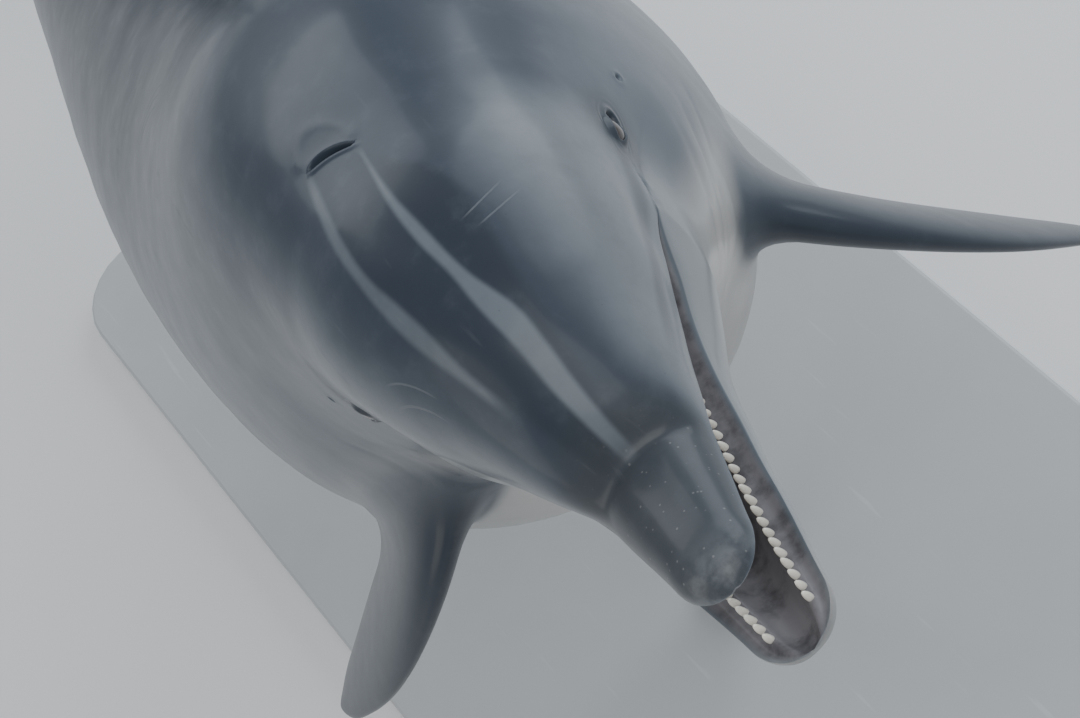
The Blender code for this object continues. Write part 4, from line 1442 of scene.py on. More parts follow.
class Bench(NodeBench):
    """Lays out the nodes of one material around its Principled shader."""

    def __init__(self, name: str, **shader_sizes: float) -> None:
        """Starts a material.

        Args:
            name: Name of the material.
            **shader_sizes: Numbers that are the same all over, by socket.
        """
        self.material = bpy.data.materials.new(name)
        self.material.use_nodes = True
        super().__init__(self.material.node_tree)
        self.shader = self.tree.nodes["Principled BSDF"]
        for key, value in shader_sizes.items():
            self.shader.inputs[key.replace("_", " ").title().replace("Ior", "IOR")].default_value = value

    def done(self, colour: Socket, roughness: Socket | None = None,
             normal: Socket | None = None) -> Material:
        """Feeds the shader.

        Args:
            colour: Base colour.
            roughness: Roughness, where it isn't the same all over.
            normal: Bumped normal.

        Returns:
            The finished material.
        """
        for key, value in (("Base Color", colour), ("Roughness", roughness), ("Normal", normal)):
            if value is not None:
                self.feed(self.shader.inputs[key], value)
        return self.material

    def place(self) -> Socket:
        """Coordinates of the object, in metres."""
        return self.node("ShaderNodeTexCoord").outputs["Object"]

    def attribute(self, name: str, output: str = "Fac") -> Socket:
        """An attribute of the mesh, as a number (Fac) or as a Vector."""
        return self.node("ShaderNodeAttribute", attribute_name=name).outputs[output]

    def line(self, value: Number, slope: Number, base: Number) -> Socket:
        """Value times slope, plus base."""
        return self.calc("MULTIPLY_ADD", value, slope, base)

    def step(self, value: Number, start: float, end: float, low: float = 0.0, high: float = 1.0) -> Socket:
        """A smooth step of value, from low at start to high at end."""
        given = {"Value": value, "From Min": start, "From Max": end, "To Min": low, "To Max": high}
        return self.node("ShaderNodeMapRange", given, interpolation_type="SMOOTHSTEP").outputs["Result"]

    def between(self, value: Socket, low: Number, high: Number, soft: float) -> Socket:
        """1 where a value lies between two limits, with soft edges."""
        above, over = (self.calc("SUBTRACT", value, limit) for limit in (low, high))
        return self.calc("MULTIPLY", self.step(above, -soft, soft), self.step(over, -soft, soft, 1.0, 0.0))

    def product(self, *factors: Number) -> Socket:
        """Several numbers multiplied."""
        return reduce(partial(self.calc, "MULTIPLY"), factors)

    def distance(self, first: Number, second: Number) -> Socket:
        """The length of a step with these two sides."""
        squares = (self.calc("POWER", side, 2.0) for side in (first, second))
        return self.calc("SQRT", self.calc("ADD", *squares))

    def mix(self, share: Number, first: Socket | Colour, second: Socket | Colour) -> Socket:
        """A mix of two colours, on the node's colour sockets."""
        return self.node("ShaderNodeMix", {0: share, 6: first, 7: second}, data_type="RGBA").outputs[2]

    def layered(self, ground: Socket, layers: tuple[tuple[Number, Socket | Colour], ...]) -> Socket:
        """Colours painted one over another, each with the share that it covers."""
        return reduce(lambda below, layer: self.mix(layer[0], below, layer[1]), layers, ground)

    def placed(self, vector: Socket, location: Triple = (0, 0, 0), turn: Triple = (0, 0, 0),
               scale: Triple = (1, 1, 1)) -> Socket:
        """A pattern's coordinates, centred on location, then turned and scaled.

        Args:
            vector: Coordinates in metres.
            location: Place that becomes the origin.
            turn: Turn about each axis, in degrees.
            scale: Stretch along each axis.

        Returns:
            The new coordinates.
        """
        moved = self.node("ShaderNodeVectorMath", {0: vector, 1: location}, operation="SUBTRACT")
        given = {"Vector": moved.outputs[0], "Rotation": [math.radians(a) for a in turn], "Scale": scale}
        return self.node("ShaderNodeMapping", given).outputs[0]

    def noise(self, vector: Socket, scale: float, detail: float = 3.0, roughness: float = 0.5) -> Socket:
        """Cloudy noise between 0 and 1."""
        given = {"Vector": vector, "Scale": scale, "Detail": detail, "Roughness": roughness}
        return self.node("ShaderNodeTexNoise", given).outputs["Fac"]

    def specks(self, vector: Socket, scale: float, size: float) -> Socket:
        """Small round specks, 1 at the middle of each."""
        made = self.node("ShaderNodeTexVoronoi", {"Vector": vector, "Scale": scale})
        return self.step(made.outputs["Distance"], size * 0.4, size, 1.0, 0.0)

    def line_place(self, at: Socket, knots: Knots, reach: Pair) -> Socket:
        """A curve that gives a place across the body for each place along it.

        Args:
            at: Place along the body, in metres.
            knots: Pairs of place along and place across.
            reach: Lowest and highest place across.

        Returns:
            The place across, in metres.
        """
        low, high = reach
        start, end = knots[0][0], knots[-1][0]
        share = self.calc("DIVIDE", self.calc("SUBTRACT", at, start), end - start)
        made = self.node("ShaderNodeFloatCurve", {"Value": share})
        points = made.mapping.curves[0].points
        scaled = [((x - start) / (end - start), (y - low) / (high - low)) for x, y in knots]
        while len(points) < len(scaled):
            points.new(0.5, 0.5)
        for point, place in zip(points, scaled):
            point.location = place
        made.mapping.update()
        return self.line(made.outputs[0], high - low, low)

    def grain(self, height: Socket, depth: float, strength: float = 1.0,
              below: Socket | None = None) -> Socket:
        """A bumped normal from a height between 0 and 1.

        Args:
            height: The relief.
            depth: Its depth in metres.
            strength: How much of it shows.
            below: A normal that it adds to.

        Returns:
            The normal.
        """
        given = {"Strength": strength, "Distance": depth, "Height": height}
        if below is not None:
            given["Normal"] = below
        return self.node("ShaderNodeBump", given).outputs["Normal"]


@dataclass(frozen=True)
class Rake:
    """A set of thin parallel tooth scratches: middle, direction, length, spacing and how many."""

    left: float
    station: float
    turn: float
    length: float
    spacing: float
    lines: int


@dataclass(frozen=True)
class WetSkin:
    """Smooth wet hide: dark back, pale belly, the stripes of the melon, old scratches."""

    back: Colour = (0.038, 0.049, 0.067)
    cape: Colour = (0.022, 0.028, 0.038)
    flank: Colour = (0.072, 0.088, 0.108)
    belly: Colour = (0.46, 0.45, 0.435)
    jaw: Colour = (0.21, 0.225, 0.237)
    jaw_tip: Colour = (0.3, 0.285, 0.265)
    beak: Colour = (0.05, 0.057, 0.066)
    stripe: Colour = (0.14, 0.16, 0.18)
    scar: Colour = (0.2, 0.215, 0.23)
    pore: Colour = (0.015, 0.017, 0.02)
    lining: Colour = (0.15, 0.145, 0.155)
    lining_shade: Colour = (0.06, 0.058, 0.064)
    eye_place: Pair = (0.338, 0.04)
    left_inner: Knots = (
        (0.118, -0.001), (0.135, 0.0012), (0.156, 0.005), (0.181, 0.0062), (0.202, 0.008), (0.23, 0.0068),
        (0.261, 0.0077), (0.298, 0.0112), (0.33, 0.014),
    )
    left_outer: Knots = (
        (0.118, 0.0085), (0.138, 0.0146), (0.152, 0.0185), (0.17, 0.0212), (0.182, 0.0191), (0.196, 0.016),
        (0.24, 0.0142), (0.269, 0.013), (0.33, 0.0148),
    )
    band_outer: Knots = (
        (0.119, 0.0088), (0.125, 0.013), (0.137, 0.02), (0.153, 0.0257), (0.17, 0.0302), (0.195, 0.0362),
        (0.231, 0.0438), (0.267, 0.0406), (0.297, 0.0251), (0.33, 0.015),
    )
    right_inner: Knots = (
        (0.15, -0.023), (0.171, -0.0259), (0.192, -0.0255), (0.217, -0.0274), (0.244, -0.0304),
        (0.28, -0.0286), (0.313, -0.0245), (0.35, -0.0195),
    )
    right_outer: Knots = (
        (0.15, -0.0285), (0.166, -0.0311), (0.185, -0.0347), (0.208, -0.0378), (0.23, -0.0383),
        (0.255, -0.0374), (0.287, -0.0357), (0.323, -0.0302), (0.35, -0.0245),
    )
    across: Pair = (-0.06, 0.06)
    rakes: tuple[Rake, ...] = (
        Rake(0.052, 0.225, 62.0, 0.026, 0.009, 2),
        Rake(-0.06, 0.205, -28.0, 0.034, 0.007, 2),
        Rake(0.085, 0.6, 20.0, 0.07, 0.0085, 3),
        Rake(-0.12, 0.82, -35.0, 0.09, 0.0095, 3),
        Rake(0.06, 1.05, 40.0, 0.08, 0.009, 3),
        Rake(-0.05, 1.85, 12.0, 0.07, 0.0085, 3),
    )

    def melon_marks(self, bench: Bench, x: Socket, y: Socket, tone: Socket) -> tuple[Socket, Socket]:
        """The stripes that run from the blowhole to the beak.

        Args:
            bench: Bench of the material.
            x: Place to the animal's left.
            y: Station.
            tone: Height of the direction.

        Returns:
            Where the skin is lighter, and where it is darker.
        """
        between, product = bench.between, bench.product
        on_top = bench.step(tone, 0.3, 0.55)
        edges = (self.left_inner, self.left_outer, self.right_inner, self.right_outer, self.band_outer)
        left_in, left_out, right_in, right_out, far_out = (
            bench.line_place(y, knots, self.across) for knots in edges)
        left = product(between(x, left_in, left_out, 0.0022), between(y, 0.113, 0.324, 0.006))
        right = product(between(x, right_out, right_in, 0.0026), between(y, 0.152, 0.345, 0.01), 0.75)
        light = product(bench.calc("MAXIMUM", left, right), on_top)
        outer = product(between(x, left_out, far_out, 0.0045), between(y, 0.117, 0.3, 0.012))
        middle = product(between(x, right_in, left_in, 0.004), between(y, 0.112, 0.3, 0.016), 0.7)
        return light, product(bench.calc("MAXIMUM", outer, middle), on_top)

    def scratches(self, bench: Bench, place: Socket, tone: Socket, detail: Socket) -> Socket:
        """Old rake marks and fine random scratches.

        Args:
            bench: Bench of the material.
            place: Straight-laid coordinates.
            tone: Height of the direction.
            detail: Noise that makes the lines uneven.

        Returns:
            1 on a scratch.
        """
        calc, step, product, between = bench.calc, bench.step, bench.product, bench.between
        total = calc("ADD", 0.0, 0.0)
        top = step(tone, 0.0, 0.3)
        for rake in self.rakes:
            turned = bench.placed(place, (rake.left, rake.station, 0), (0, 0, rake.turn))
            across, along, _ = bench.parts(turned)
            bent = bench.line(calc("MULTIPLY", along, along), 5.0, across)
            wobble = bench.line(detail, 0.0022, bent)
            phase = calc("SINE", calc("MULTIPLY", wobble, 2 * math.pi / rake.spacing))
            wide, long = rake.spacing * rake.lines / 2, rake.length / 2
            inside = product(between(wobble, -wide, wide, 0.001), between(along, -long, long, 0.006))
            total = calc("MAXIMUM", total, product(step(phase, 0.9, 0.985), inside, top))
        for turn, scale, limit in ((18.0, 11.0, 0.7), (-35.0, 13.0, 0.71), (80.0, 9.0, 0.7)):
            stretched = bench.placed(place, (0, 0, 0), (0, 0, turn), (11.0, 0.8, 3.0))
            streak = step(bench.noise(stretched, scale, 2.0, 0.5), limit, limit + 0.09)
            total = calc("MAXIMUM", total, product(streak, top, 0.22))
        return total

    def base_colour(self, bench: Bench, at: tuple[Socket, ...], tone: Socket, fin: Socket,
                    cloud: Socket) -> Socket:
        """Countershading, jaw, beak, eye patch and painted sky light on the melon's left side, without the
        stripes.

        Args:
            bench: Bench of the material.
            at: Place to the animal's left, station and height above the lips.
            tone: Height of the direction.
            fin: 1 on a fin.
            cloud: Slow noise that moves the edges.

        Returns:
            The colour.
        """
        calc, step, product = bench.calc, bench.step, bench.product
        x, y, z = at
        edge = bench.line(calc("SUBTRACT", cloud, 0.5), 0.35, tone)
        low = bench.line(step(y, 0.5, 0.34), 0.16, edge)
        under_lip = step(tone, 0.012, -0.03)
        melon_side = product(step(tone, 0.975, 0.7), step(tone, 0.0, 0.06), step(y, 0.36, 0.28),
                             step(y, 0.115, 0.15), 0.75)
        eye_station, eye_height = self.eye_place
        eye_gap = bench.distance(calc("SUBTRACT", y, eye_station), calc("SUBTRACT", z, eye_height))
        beside = step(calc("ABSOLUTE", x), 0.05, 0.07)
        drift = calc("ABSOLUTE", calc("SUBTRACT", z, bench.line(y, 0.11, 0.004)))
        eye_line = product(step(drift, 0.011, 0.002), bench.between(y, 0.15, 0.325, 0.03), beside, 0.45)
        return bench.layered(bench.mix(step(edge, 0.78, 0.12), self.back, self.flank), (
            (step(edge, -0.26, -0.74), self.belly),
            (product(step(edge, 0.55, 0.95), step(y, 0.42, 0.75), 0.75), self.cape),
            (product(fin, 0.72), self.cape),
            (product(under_lip, step(y, 0.4, 0.25), step(low, -0.75, -0.25, 0.35, 1.0)), self.jaw),
            (product(under_lip, step(y, 0.075, 0.0), 0.8), self.jaw_tip),
            (melon_side, self.stripe),
            # painted sky light: the melon's side band is lightened further with the jaw colour on the
            # animal's left side only
            (product(melon_side, step(x, 0.012, 0.04), 0.6), self.jaw),
            (product(step(y, 0.135, 0.116), step(tone, 0.02, 0.3)), self.beak),
            (product(step(eye_gap, 0.04, 0.014), beside, 0.75), self.cape),
            (eye_line, self.cape),
        ))

    def material(self) -> Material:
        """Builds the finish.

        Returns:
            The material.
        """
        bench = Bench("wet_dolphin_skin", coat_weight=0.17, coat_roughness=0.12, coat_ior=1.33, ior=1.4,
                      specular_ior_level=0.24)
        step, product = bench.step, bench.product
        place = bench.attribute("rest", "Vector")
        x, y, z = bench.parts(place)
        tone, fin, lining = map(bench.attribute, ("tone", "fin", "lining"))
        cloud = bench.noise(bench.placed(place, scale=(1.0, 0.45, 1.0)), 7.0, 4.0, 0.55)
        mottle = bench.noise(place, 42.0, 5.0, 0.62)
        fine = bench.noise(place, 420.0, 3.0, 0.6)
        colour = self.base_colour(bench, (x, y, z), tone, fin, cloud)
        light, dark = self.melon_marks(bench, x, y, tone)
        scars = self.scratches(bench, place, tone, cloud)
        flecks = product(bench.specks(place, 165.0, 0.16), step(y, 0.125, 0.1), step(tone, 0.1, 0.4), 0.2)
        colour = bench.layered(colour, (
            (product(dark, 0.62), self.cape),
            (product(light, 0.8), self.stripe),
            (product(step(mottle, 0.42, 0.78), step(tone, -0.1, 0.6, 0.05, 0.17)), self.cape),
            (product(step(mottle, 0.5, 0.24), step(tone, 0.2, 0.8, 0.05, 0.13)), self.stripe),
            (product(scars, 0.34), self.scar),
            (product(step(y, 0.04, 0.0), step(mottle, 0.35, 0.65), 0.6), self.scar),
            (flecks, self.belly),
            (product(bench.specks(place, 90.0, 0.055), 0.3), self.pore),
            (lining, bench.mix(step(mottle, 0.4, 0.7), self.lining, self.lining_shade)),
        ))
        gloss = bench.line(scars, 0.18, bench.line(mottle, 0.08, 0.3))
        relief = bench.grain(scars, 0.0004, 0.5)
        relief = bench.grain(mottle, 0.0006, 0.09, relief)
        relief = bench.grain(fine, 0.0003, 0.1, relief)
        return bench.done(colour, gloss, relief)


@dataclass(frozen=True)
class ToothEnamel:
    """Worn ivory: pale at the tip, stained towards the gum."""

    tip: Colour = (0.8, 0.77, 0.69)
    foot: Colour = (0.56, 0.5, 0.4)

    def material(self) -> Material:
        """Builds the finish.

        Returns:
            The material.
        """
        bench = Bench("tooth_enamel", roughness=0.28, coat_weight=0.4, coat_roughness=0.08)
        place = bench.place()
        cloud = bench.noise(place, 260.0, 3.0)
        share = bench.line(bench.calc("SUBTRACT", cloud, 0.5), 0.5, bench.attribute("peg_height"))
        colour = bench.mix(bench.step(share, -0.1, 0.7), self.foot, self.tip)
        return bench.done(colour, normal=bench.grain(bench.noise(place, 900.0, 2.0), 0.0002, 0.25))


@dataclass(frozen=True)
class EyeGloss:
    """Dark brown eye: a near black pupil, a brown iris and a clouded rim, under a clear wet coat."""

    pupil: Colour = (0.004, 0.004, 0.005)
    iris: Colour = (0.034, 0.018, 0.011)
    iris_shade: Colour = (0.022, 0.012, 0.008)
    white: Colour = (0.04, 0.032, 0.03)

    def material(self) -> Material:
        """Builds the finish.

        Returns:
            The material.
        """
        bench = Bench("dolphin_eye_gloss", roughness=0.12, coat_weight=0.45, coat_roughness=0.02, ior=1.36,
                      specular_ior_level=0.3)
        along, up, _ = bench.parts(bench.attribute("look", "Vector"))
        ring = bench.distance(along, bench.calc("MULTIPLY", up, 1.25))
        round_eye = bench.vector(bench.calc("ARCTAN2", along, up), ring, 0.0)
        spokes = bench.noise(round_eye, 9.0, 2.0)
        iris = bench.mix(bench.step(spokes, 0.35, 0.65), self.iris, self.iris_shade)
        colour = bench.mix(bench.step(ring, 0.2, 0.25), self.pupil, iris)
        return bench.done(bench.mix(bench.step(ring, 0.5, 0.6), colour, self.white))


@dataclass(frozen=True)
class TongueFlesh:
    """Moist pink-grey tongue with fine papillae."""

    flesh: Colour = (0.4, 0.235, 0.23)
    shade: Colour = (0.26, 0.155, 0.16)

    def material(self) -> Material:
        """Builds the finish.

        Returns:
            The material.
        """
        bench = Bench("tongue_flesh", coat_weight=0.5, coat_roughness=0.12)
        place = bench.place()
        cloud = bench.noise(place, 70.0, 4.0)
        colour = bench.mix(bench.step(cloud, 0.35, 0.7), self.flesh, self.shade)
        papillae = bench.grain(bench.specks(place, 620.0, 0.5), 0.0003, 0.5)
        return bench.done(colour, bench.line(cloud, 0.2, 0.26), papillae)


@dataclass(frozen=True)
class PaintedBase:
    """Pale grey satin paint with a fine stipple and faint scuffs."""

    paint: Colour = (0.42, 0.43, 0.44)
    shade: Colour = (0.37, 0.38, 0.39)
    scuff: Colour = (0.52, 0.53, 0.54)

    def material(self) -> Material:
        """Builds the finish.

        Returns:
            The material.
        """
        bench = Bench("stand_base_paint", coat_weight=0.15, coat_roughness=0.25)
        place = bench.place()
        cloud = bench.noise(place, 5.0, 5.0, 0.6)
        stretched = bench.placed(place, turn=(0, 0, 24), scale=(14.0, 1.0, 1.0))
        scuffs = bench.step(bench.noise(stretched, 7.0, 4.0), 0.66, 0.74)
        colour = bench.mix(bench.product(bench.step(cloud, 0.35, 0.7), 0.35), self.paint, self.shade)
        colour = bench.mix(bench.product(scuffs, 0.4), colour, self.scuff)
        stipple = bench.grain(bench.noise(place, 900.0, 2.0), 0.0002, 0.35)
        return bench.done(colour, bench.line(cloud, 0.2, 0.38), stipple)


@dataclass(frozen=True)
class BrushedSteel:
    """Satin steel, its fine brushing running round the rods and collars."""

    steel: Colour = (0.58, 0.59, 0.6)
    shade: Colour = (0.44, 0.45, 0.46)

    def material(self) -> Material:
        """Builds the finish.

        Returns:
            The material.
        """
        bench = Bench("stand_brushed_steel", metallic=1.0)
        place = bench.place()
        brushing = bench.noise(bench.placed(place, scale=(3.0, 3.0, 900.0)), 1.0, 3.0, 0.7)
        colour = bench.mix(bench.product(brushing, 0.5), self.steel, self.shade)
        gloss = bench.line(bench.noise(place, 9.0, 3.0), 0.16, 0.24)
        return bench.done(colour, gloss, bench.grain(brushing, 0.00005, 0.4))


@dataclass(frozen=True)
class StudioFloor:
    """Plain pale studio floor."""

    pale: Colour = (0.74, 0.745, 0.75)
    shade: Colour = (0.68, 0.685, 0.69)

    def material(self) -> Material:
        """Builds the finish.

        Returns:
            The material.
        """
        bench = Bench("studio_floor", roughness=0.75)
        cloud = bench.product(bench.noise(bench.place(), 1.3, 4.0), 0.25)
        return bench.done(bench.mix(cloud, self.pale, self.shade))


# ---- teeth, eyes and tongue


class Jaw(Enum):
    """Which jaw a row of teeth stands in."""

    UPPER = "upper"
    LOWER = "lower"


@dataclass
class ToothRow:
    """The worn pegs of one jaw, spaced evenly along both gums."""

    spine: Spine
    form: BodyForm
    jaw: Jaw
    per_side: int = 24
    first_station: float = 0.03
    last_station: float = 0.225
    radius: float = 0.0029
    height: float = 0.0093
    sink: float = 0.0035
    taper: float = 0.34
    curl: float = 0.1
    rear_loss: float = 0.45
    wear: float = 0.1
    sway: float = 0.06
    splay: float = 0.12

    def gum_points(self, stations: Array) -> Array:
        """Where teeth stand on the left gum.

        Args:
            stations: Distances behind the jaw's tip.

        Returns:
            Straight-laid points, with the jaw open.
        """
        form, lower = self.form, self.jaw is Jaw.LOWER
        width = form.lower_radius(stations, math.pi) if lower else form.upper_radius(stations, 0.0)
        inset = np.minimum(form.gum_inset, width * form.gum_share)
        side = -1 if lower else 1
        ahead = form.chin_ahead(stations) if lower else 0.0
        points = np.stack([width - inset, stations - ahead, form.widest(stations) + side * form.gum_step], 1)
        return form.dropped(points, np.ones(len(points))) if lower else points

    def seats(self) -> Object:
        """Spaces the teeth out.

        Returns:
            Loose points, one for each tooth, with its lean and size.
        """
        lower = self.jaw is Jaw.LOWER
        fine = np.linspace(0.004, self.last_station, 400)
        steps = np.linalg.norm(np.diff(self.gum_points(fine), axis=0), axis=1)
        along = np.concatenate([[0], np.cumsum(steps)])
        wanted = np.linspace(np.interp(self.first_station, fine, along), along[-1], self.per_side)
        stations = np.interp(wanted, along, fine)
        size = 1 - self.rear_loss * ramp(stations, 0.12, self.last_station)
        uneven = np.sin(7.3 * np.arange(self.per_side) + (1.7 if lower else 0))
        worn = 1 - self.wear * (0.5 + 0.5 * uneven)
        upright = math.radians(self.form.bite_opening if lower else 180.0)
        axes = Matrix(self.spine.axes(np.array(HEAD)).tolist())
        seats, aims, sizes = [], [], []
        for mirror in (1, -1):
            outward = Matrix.Rotation(mirror * self.splay * (1 if lower else -1), 3, "Y")
            flip = Matrix.Rotation(0.0 if mirror > 0 else math.pi, 3, "Z")
            for k, point in enumerate(self.gum_points(stations)):
                sway = self.sway * math.sin(5.1 * k + mirror + (2.0 if lower else 0.0))
                turned = axes @ Matrix.Rotation(upright + sway, 3, "X") @ outward
                girth = 0.9 + 0.1 * size[k]
                seats.append(point * [mirror, 1, 1])
                aims.append(tuple((turned @ flip).to_euler("XYZ")))
                sizes.append((girth, girth, size[k] * worn[k]))
        made = new_mesh_object(f"teeth_{self.jaw.value}", self.spine.pose(np.array(seats), HEAD), [])
        store(made.data, aim=np.array(aims), size=np.array(sizes))
        return made

    def peg_tree(self, finish: Material) -> tuple[bpy.types.NodeTree, dict[str, str]]:
        """The Geometry Nodes tree that puts a rounded peg on every seat.

        Args:
            finish: Material of the pegs.

        Returns:
            The tree, and the socket identifier of each named input.
        """
        tree = bpy.data.node_groups.new(f"peg_teeth_{self.jaw.value}", "GeometryNodeTree")
        add = tree.interface.new_socket
        add("Geometry", in_out="INPUT", socket_type="NodeSocketGeometry")
        sockets = {label: add(label, in_out="INPUT", socket_type="NodeSocketFloat").identifier
                   for label in ("Peg Radius", "Peg Height", "Gum Sink", "Taper", "Curl")}
        add("Geometry", in_out="OUTPUT", socket_type="NodeSocketGeometry")
        bench = NodeBench(tree)
        node, calc, given = bench.node, bench.calc, bench.node("NodeGroupInput").outputs
        ball = node("GeometryNodeMeshUVSphere", {"Segments": 12, "Rings": 8, "Radius": 1.0})
        x, y, z = bench.parts(node("GeometryNodeInputPosition").outputs[0])
        rise = calc("MULTIPLY_ADD", z, 0.5, 0.5)
        slim = calc("SUBTRACT", 1.0, calc("MULTIPLY", rise, given["Taper"]))
        wide = calc("MULTIPLY", slim, given["Peg Radius"])
        lean = calc("MULTIPLY", calc("MULTIPLY", rise, rise), calc("MULTIPLY", given["Curl"], -0.01))
        whole = calc("ADD", given["Peg Height"], given["Gum Sink"])
        height = calc("SUBTRACT", calc("MULTIPLY", rise, whole), given["Gum Sink"])
        place = bench.vector(calc("ADD", calc("MULTIPLY", x, wide), lean), calc("MULTIPLY", y, wide), height)
        shaped = node("GeometryNodeSetPosition", {"Geometry": ball.outputs["Mesh"], "Position": place})
        marked = node("GeometryNodeStoreNamedAttribute",
                      {"Geometry": shaped.outputs["Geometry"], "Name": "peg_height", "Value": rise},
                      data_type="FLOAT", domain="POINT")
        aim, size = (node("GeometryNodeInputNamedAttribute", {"Name": name}, data_type="FLOAT_VECTOR")
                     .outputs["Attribute"] for name in ("aim", "size"))
        copies = node("GeometryNodeInstanceOnPoints",
                      {"Points": given["Geometry"], "Instance": marked.outputs["Geometry"],
                       "Rotation": node("FunctionNodeEulerToRotation", {0: aim}).outputs[0], "Scale": size})
        real = node("GeometryNodeRealizeInstances", {"Geometry": copies.outputs["Instances"]})
        painted = node("GeometryNodeSetMaterial", {"Geometry": real.outputs["Geometry"], "Material": finish})
        node("NodeGroupOutput", {"Geometry": painted.outputs["Geometry"]})
        return tree, sockets

    def build(self, finish: Material) -> Object:
        """Makes the row of teeth.

        Args:
            finish: Material of the teeth.

        Returns:
            One plain mesh.
        """
        row = self.seats()
        tree, sockets = self.peg_tree(finish)
        modifier = row.modifiers.new("pegs", "NODES")
        modifier.node_group = tree
        sizes = {"Peg Radius": self.radius, "Peg Height": self.height, "Gum Sink": self.sink,
                 "Taper": self.taper, "Curl": self.curl}
        for label, size in sizes.items():
            modifier[sockets[label]] = size
        settle(row)
        weld(row.data)
        dress(row, finish)
        return row


@dataclass
class Eyeball:
    """A fine, slightly flattened eyeball in the place of its solid."""

    spine: Spine
    eye: EyeForm
    side: str
    shrink: float = 0.0002

    def build(self, finish: Material) -> Object:
        """Makes the eyeball.

        Args:
            finish: Material of the eye.

        Returns:
            A closed ball that keeps its look direction.
        """
        mirror = 1 if self.side == "left" else -1
        work = bmesh.new()
        bmesh.ops.create_uvsphere(work, u_segments=48, v_segments=32, radius=1.0,
                                  matrix=Matrix.Rotation(math.pi / 2, 4, "Y"))
        mesh = bpy.data.meshes.new(f"eyeball_{self.side}")
        work.to_mesh(mesh)
        work.free()
        out, back, up = coordinates(mesh).T
        eye, radius = self.eye, self.eye.radius - self.shrink
        points = np.stack([mirror * (eye.depth + out * eye.flatten * radius), eye.station + back * radius,
                           eye.height + up * radius], 1)
        set_coordinates(mesh, self.spine.pose(points, HEAD))
        store(mesh, look=np.stack([back, up, out], 1))
        ball = added(f"eyeball_{self.side}", mesh)
        weld(mesh)
        dress(ball, finish)
        return ball


@dataclass
class Tongue:
    """A broad flat tongue in the mouth's floor, with a middle groove and a frilled rim."""

    spine: Spine
    form: BodyForm
    start: float = 0.105
    end: float = 0.262
    width: float = 0.575
    thickness: float = 0.0097
    frill: float = 0.025
    groove: float = 0.16
    sides: int = 48
    rows: int = 64

    def build(self, finish: Material) -> Object:
        """Makes the tongue.

        Args:
            finish: Material of the tongue.

        Returns:
            A closed mesh.
        """
        form = self.form
        share = 0.5 - 0.5 * np.cos(math.pi * np.linspace(0.004, 0.996, self.rows))
        station = (self.start + (self.end - self.start) * share)[:, None]
        swell = np.sqrt(np.clip(1 - np.abs(2 * share - 1) ** 3, 0, 1))[:, None]
        room = form.lower_radius(station, math.pi) - form.gum_inset
        floor = form.mouth_floor(station)
        angle = np.linspace(0, 2 * math.pi, self.sides, endpoint=False)[None, :]
        frill = 1 + self.frill * np.sin(station * 900 + 2.0) * (1 - ramp(share[:, None], 0.25, 0.5))
        x = room * self.width * swell * np.cos(angle) * frill
        thick = np.minimum(self.thickness, floor * 0.25) * swell
        groove = self.groove * thick * bump(np.cos(angle), 0, 0.2) * (np.sin(angle) > 0)
        z = form.widest(station) - floor * 0.5 + np.sin(angle) * thick - groove
        y = station - form.chin_ahead(station) + 0 * angle
        points = form.dropped(np.stack([x, y, z], -1), np.ones(x.shape))
        faces = tube_faces(self.rows, self.sides)
        made = new_mesh_object("tongue_flesh", self.spine.pose(points.reshape(-1, 3), HEAD), faces)
        weld(made.data)
        dress(made, finish)
        return made


# ---- stand and studio


@dataclass
class Stand:
    """The display stand, whose solids stay and take new finishes."""

    base: str = "stand_base"
    steel_parts: tuple[str, ...] = ("stand_rod_front", "stand_rod_rear", "stand_collar_front",
                                    "stand_collar_rear")

    def dress(self, paint: Material, steel: Material) -> None:
        """Finishes the stand.

        Args:
            paint: Material of the base.
            steel: Material of the rods and collars.
        """
        for names, finish in (((self.base,), paint), (self.steel_parts, steel)):
            for name in names:
                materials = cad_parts[name].data.materials
                materials.clear()
                materials.append(finish)


@dataclass(frozen=True)
class SoftLight:
    """A large soft studio lamp aimed at a point."""

    name: str
    place: Triple
    aim: Triple
    size: Pair
    power: float
    colour: Colour = (1.0, 1.0, 1.0)

    def build(self) -> Object:
        """Hangs the lamp.

        Returns:
            The lamp in its place.
        """
        lamp = bpy.data.lights.new(self.name, "AREA")
        lamp.shape = "RECTANGLE"
        lamp.size, lamp.size_y = self.size
        lamp.energy = self.power
        lamp.color = self.colour
        made = added(self.name, lamp)
        made.location = self.place
        made.rotation_euler = (Vector(self.aim) - Vector(self.place)).to_track_quat("-Z", "Y").to_euler()
        return made


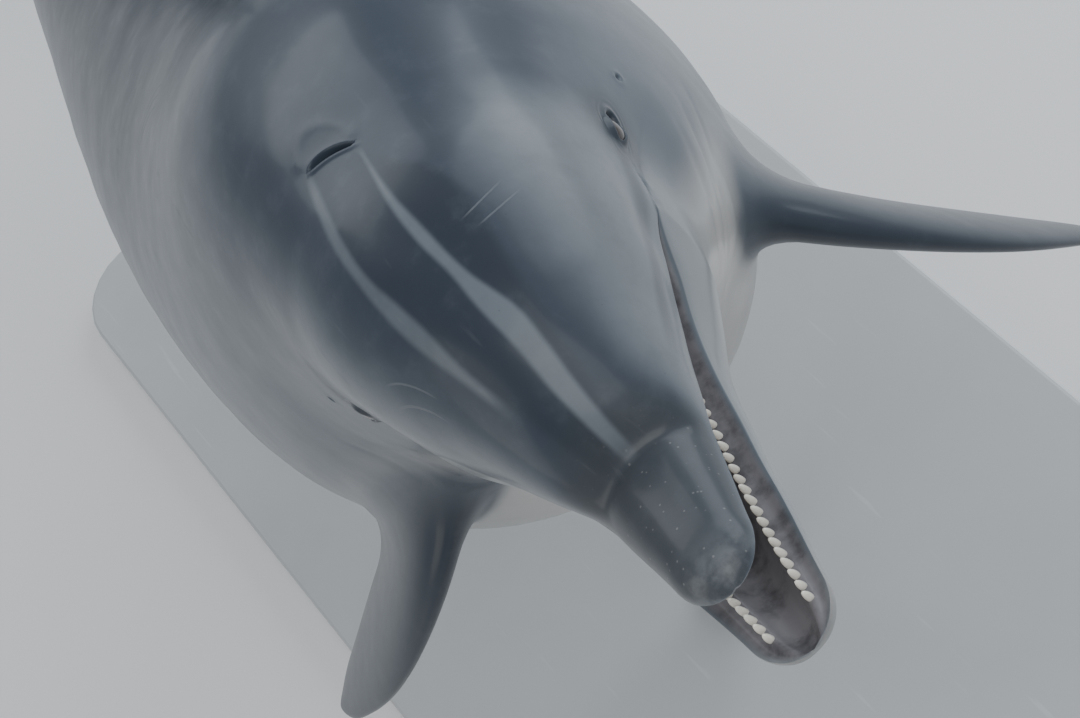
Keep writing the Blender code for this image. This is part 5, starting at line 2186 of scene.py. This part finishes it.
@dataclass
class Studio:
    """Plain pale floor, soft light, and the camera above the open mouth."""

    floor_reach: float = 14.0
    floor_level: float = -0.0004
    sky: Colour = (0.78, 0.86, 0.95)
    sky_strength: float = 0.36
    camera_place: Triple = (-0.08253, -1.57121, 2.3138)
    camera_look: Triple = (0.03146, 0.61563, -0.78741)
    camera_right: Triple = (0.72923, -0.5529, -0.40315)
    lens: float = 80.0
    lamps: tuple[SoftLight, ...] = (
        SoftLight("sky_side", (3.2, 1.2, 2.6), (0.0, -0.4, 1.0), (3.4, 3.4), 120.0, (0.86, 0.93, 1.0)),
        SoftLight("warm_side", (-2.8, -0.8, 1.9), (0.0, -0.4, 1.0), (1.6, 3.0), 28.0, (1.0, 0.96, 0.9)),
        SoftLight("overhead", (0.4, -2.4, 4.6), (0.0, -0.2, 0.8), (3.6, 3.0), 120.0),
        SoftLight("rear", (-0.4, 4.4, 3.0), (0.0, 0.6, 0.7), (4.0, 2.4), 80.0, (0.94, 0.97, 1.0)),
    )

    def floor(self) -> None:
        """Lays a flat disc of floor under the base."""
        mesh = bpy.data.meshes.new("studio_floor")
        work = bmesh.new()
        bmesh.ops.create_circle(work, cap_ends=True, segments=64, radius=self.floor_reach)
        for vert in work.verts:
            vert.co.z = self.floor_level
        work.to_mesh(mesh)
        work.free()
        mesh.materials.append(StudioFloor().material())
        made = added("studio_floor", mesh)

    def camera(self) -> None:
        """Sets the camera up, high in front of the head."""
        right, look = Vector(self.camera_right).normalized(), Vector(self.camera_look).normalized()
        up = right.cross(look).normalized()
        lens = bpy.data.cameras.new("camera")
        lens.sensor_width = 36.0
        lens.lens = self.lens
        made = added("camera", lens)
        turn = Matrix((right, up, -look)).transposed()
        made.matrix_world = Matrix.Translation(self.camera_place) @ turn.to_4x4()
        bpy.context.scene.camera = made

    def world(self) -> None:
        """Sets a plain soft surround."""
        world = bpy.data.worlds.new("soft_surround")
        world.use_nodes = True
        sky = world.node_tree.nodes["Background"]
        sky.inputs["Color"].default_value = (*self.sky, 1.0)
        sky.inputs["Strength"].default_value = self.sky_strength
        bpy.context.scene.world = world

    def build(self) -> None:
        """Sets up the whole studio."""
        self.floor()
        self.world()
        for lamp in self.lamps:
            lamp.build()
        self.camera()


# ---- the whole model

FLESH = ("head", "lower_jaw", "neck", "trunk", "loin", "tail_stock", "dorsal_fin", "flipper_left",
         "flipper_right", "fluke_left", "fluke_right")


def hand_over(piece: Object, nodes: tuple[str, ...] = ()) -> None:
    """Ties a finished piece to the frame and reports it.

    Args:
        piece: The finished piece.
        nodes: Solids that it stands for.
    """
    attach(piece, "root")
    if nodes:
        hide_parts(*nodes)
    count = sum(len(face.vertices) - 2 for face in piece.data.polygons)
    log.info("%s: %d triangles, replaces %s", piece.name, count, ", ".join(nodes) or "nothing")


def main() -> None:
    """Builds every piece in order."""
    logging.basicConfig(level=logging.INFO, format="%(message)s")
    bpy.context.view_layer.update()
    spine, form, eye = Spine(), BodyForm(), EyeForm()
    skin = WholeSkin(Skin(spine, form, eye, Blowhole(), Creases()), all_fins()).build()
    dress(skin, WetSkin(eye_place=(eye.station, eye.height)).material())
    hand_over(skin, FLESH)
    enamel = ToothEnamel().material()
    for jaw in Jaw:
        hand_over(ToothRow(spine, form, jaw).build(enamel))
    gloss = EyeGloss().material()
    for side in ("left", "right"):
        hand_over(Eyeball(spine, eye, side).build(gloss), (f"eye_{side}",))
    hand_over(Tongue(spine, form).build(TongueFlesh().material()), ("tongue",))
    Stand().dress(PaintedBase().material(), BrushedSteel().material())
    log.info("stand: base painted, rods and collars brushed")
    Studio().build()


if __name__ == "__main__":
    main()
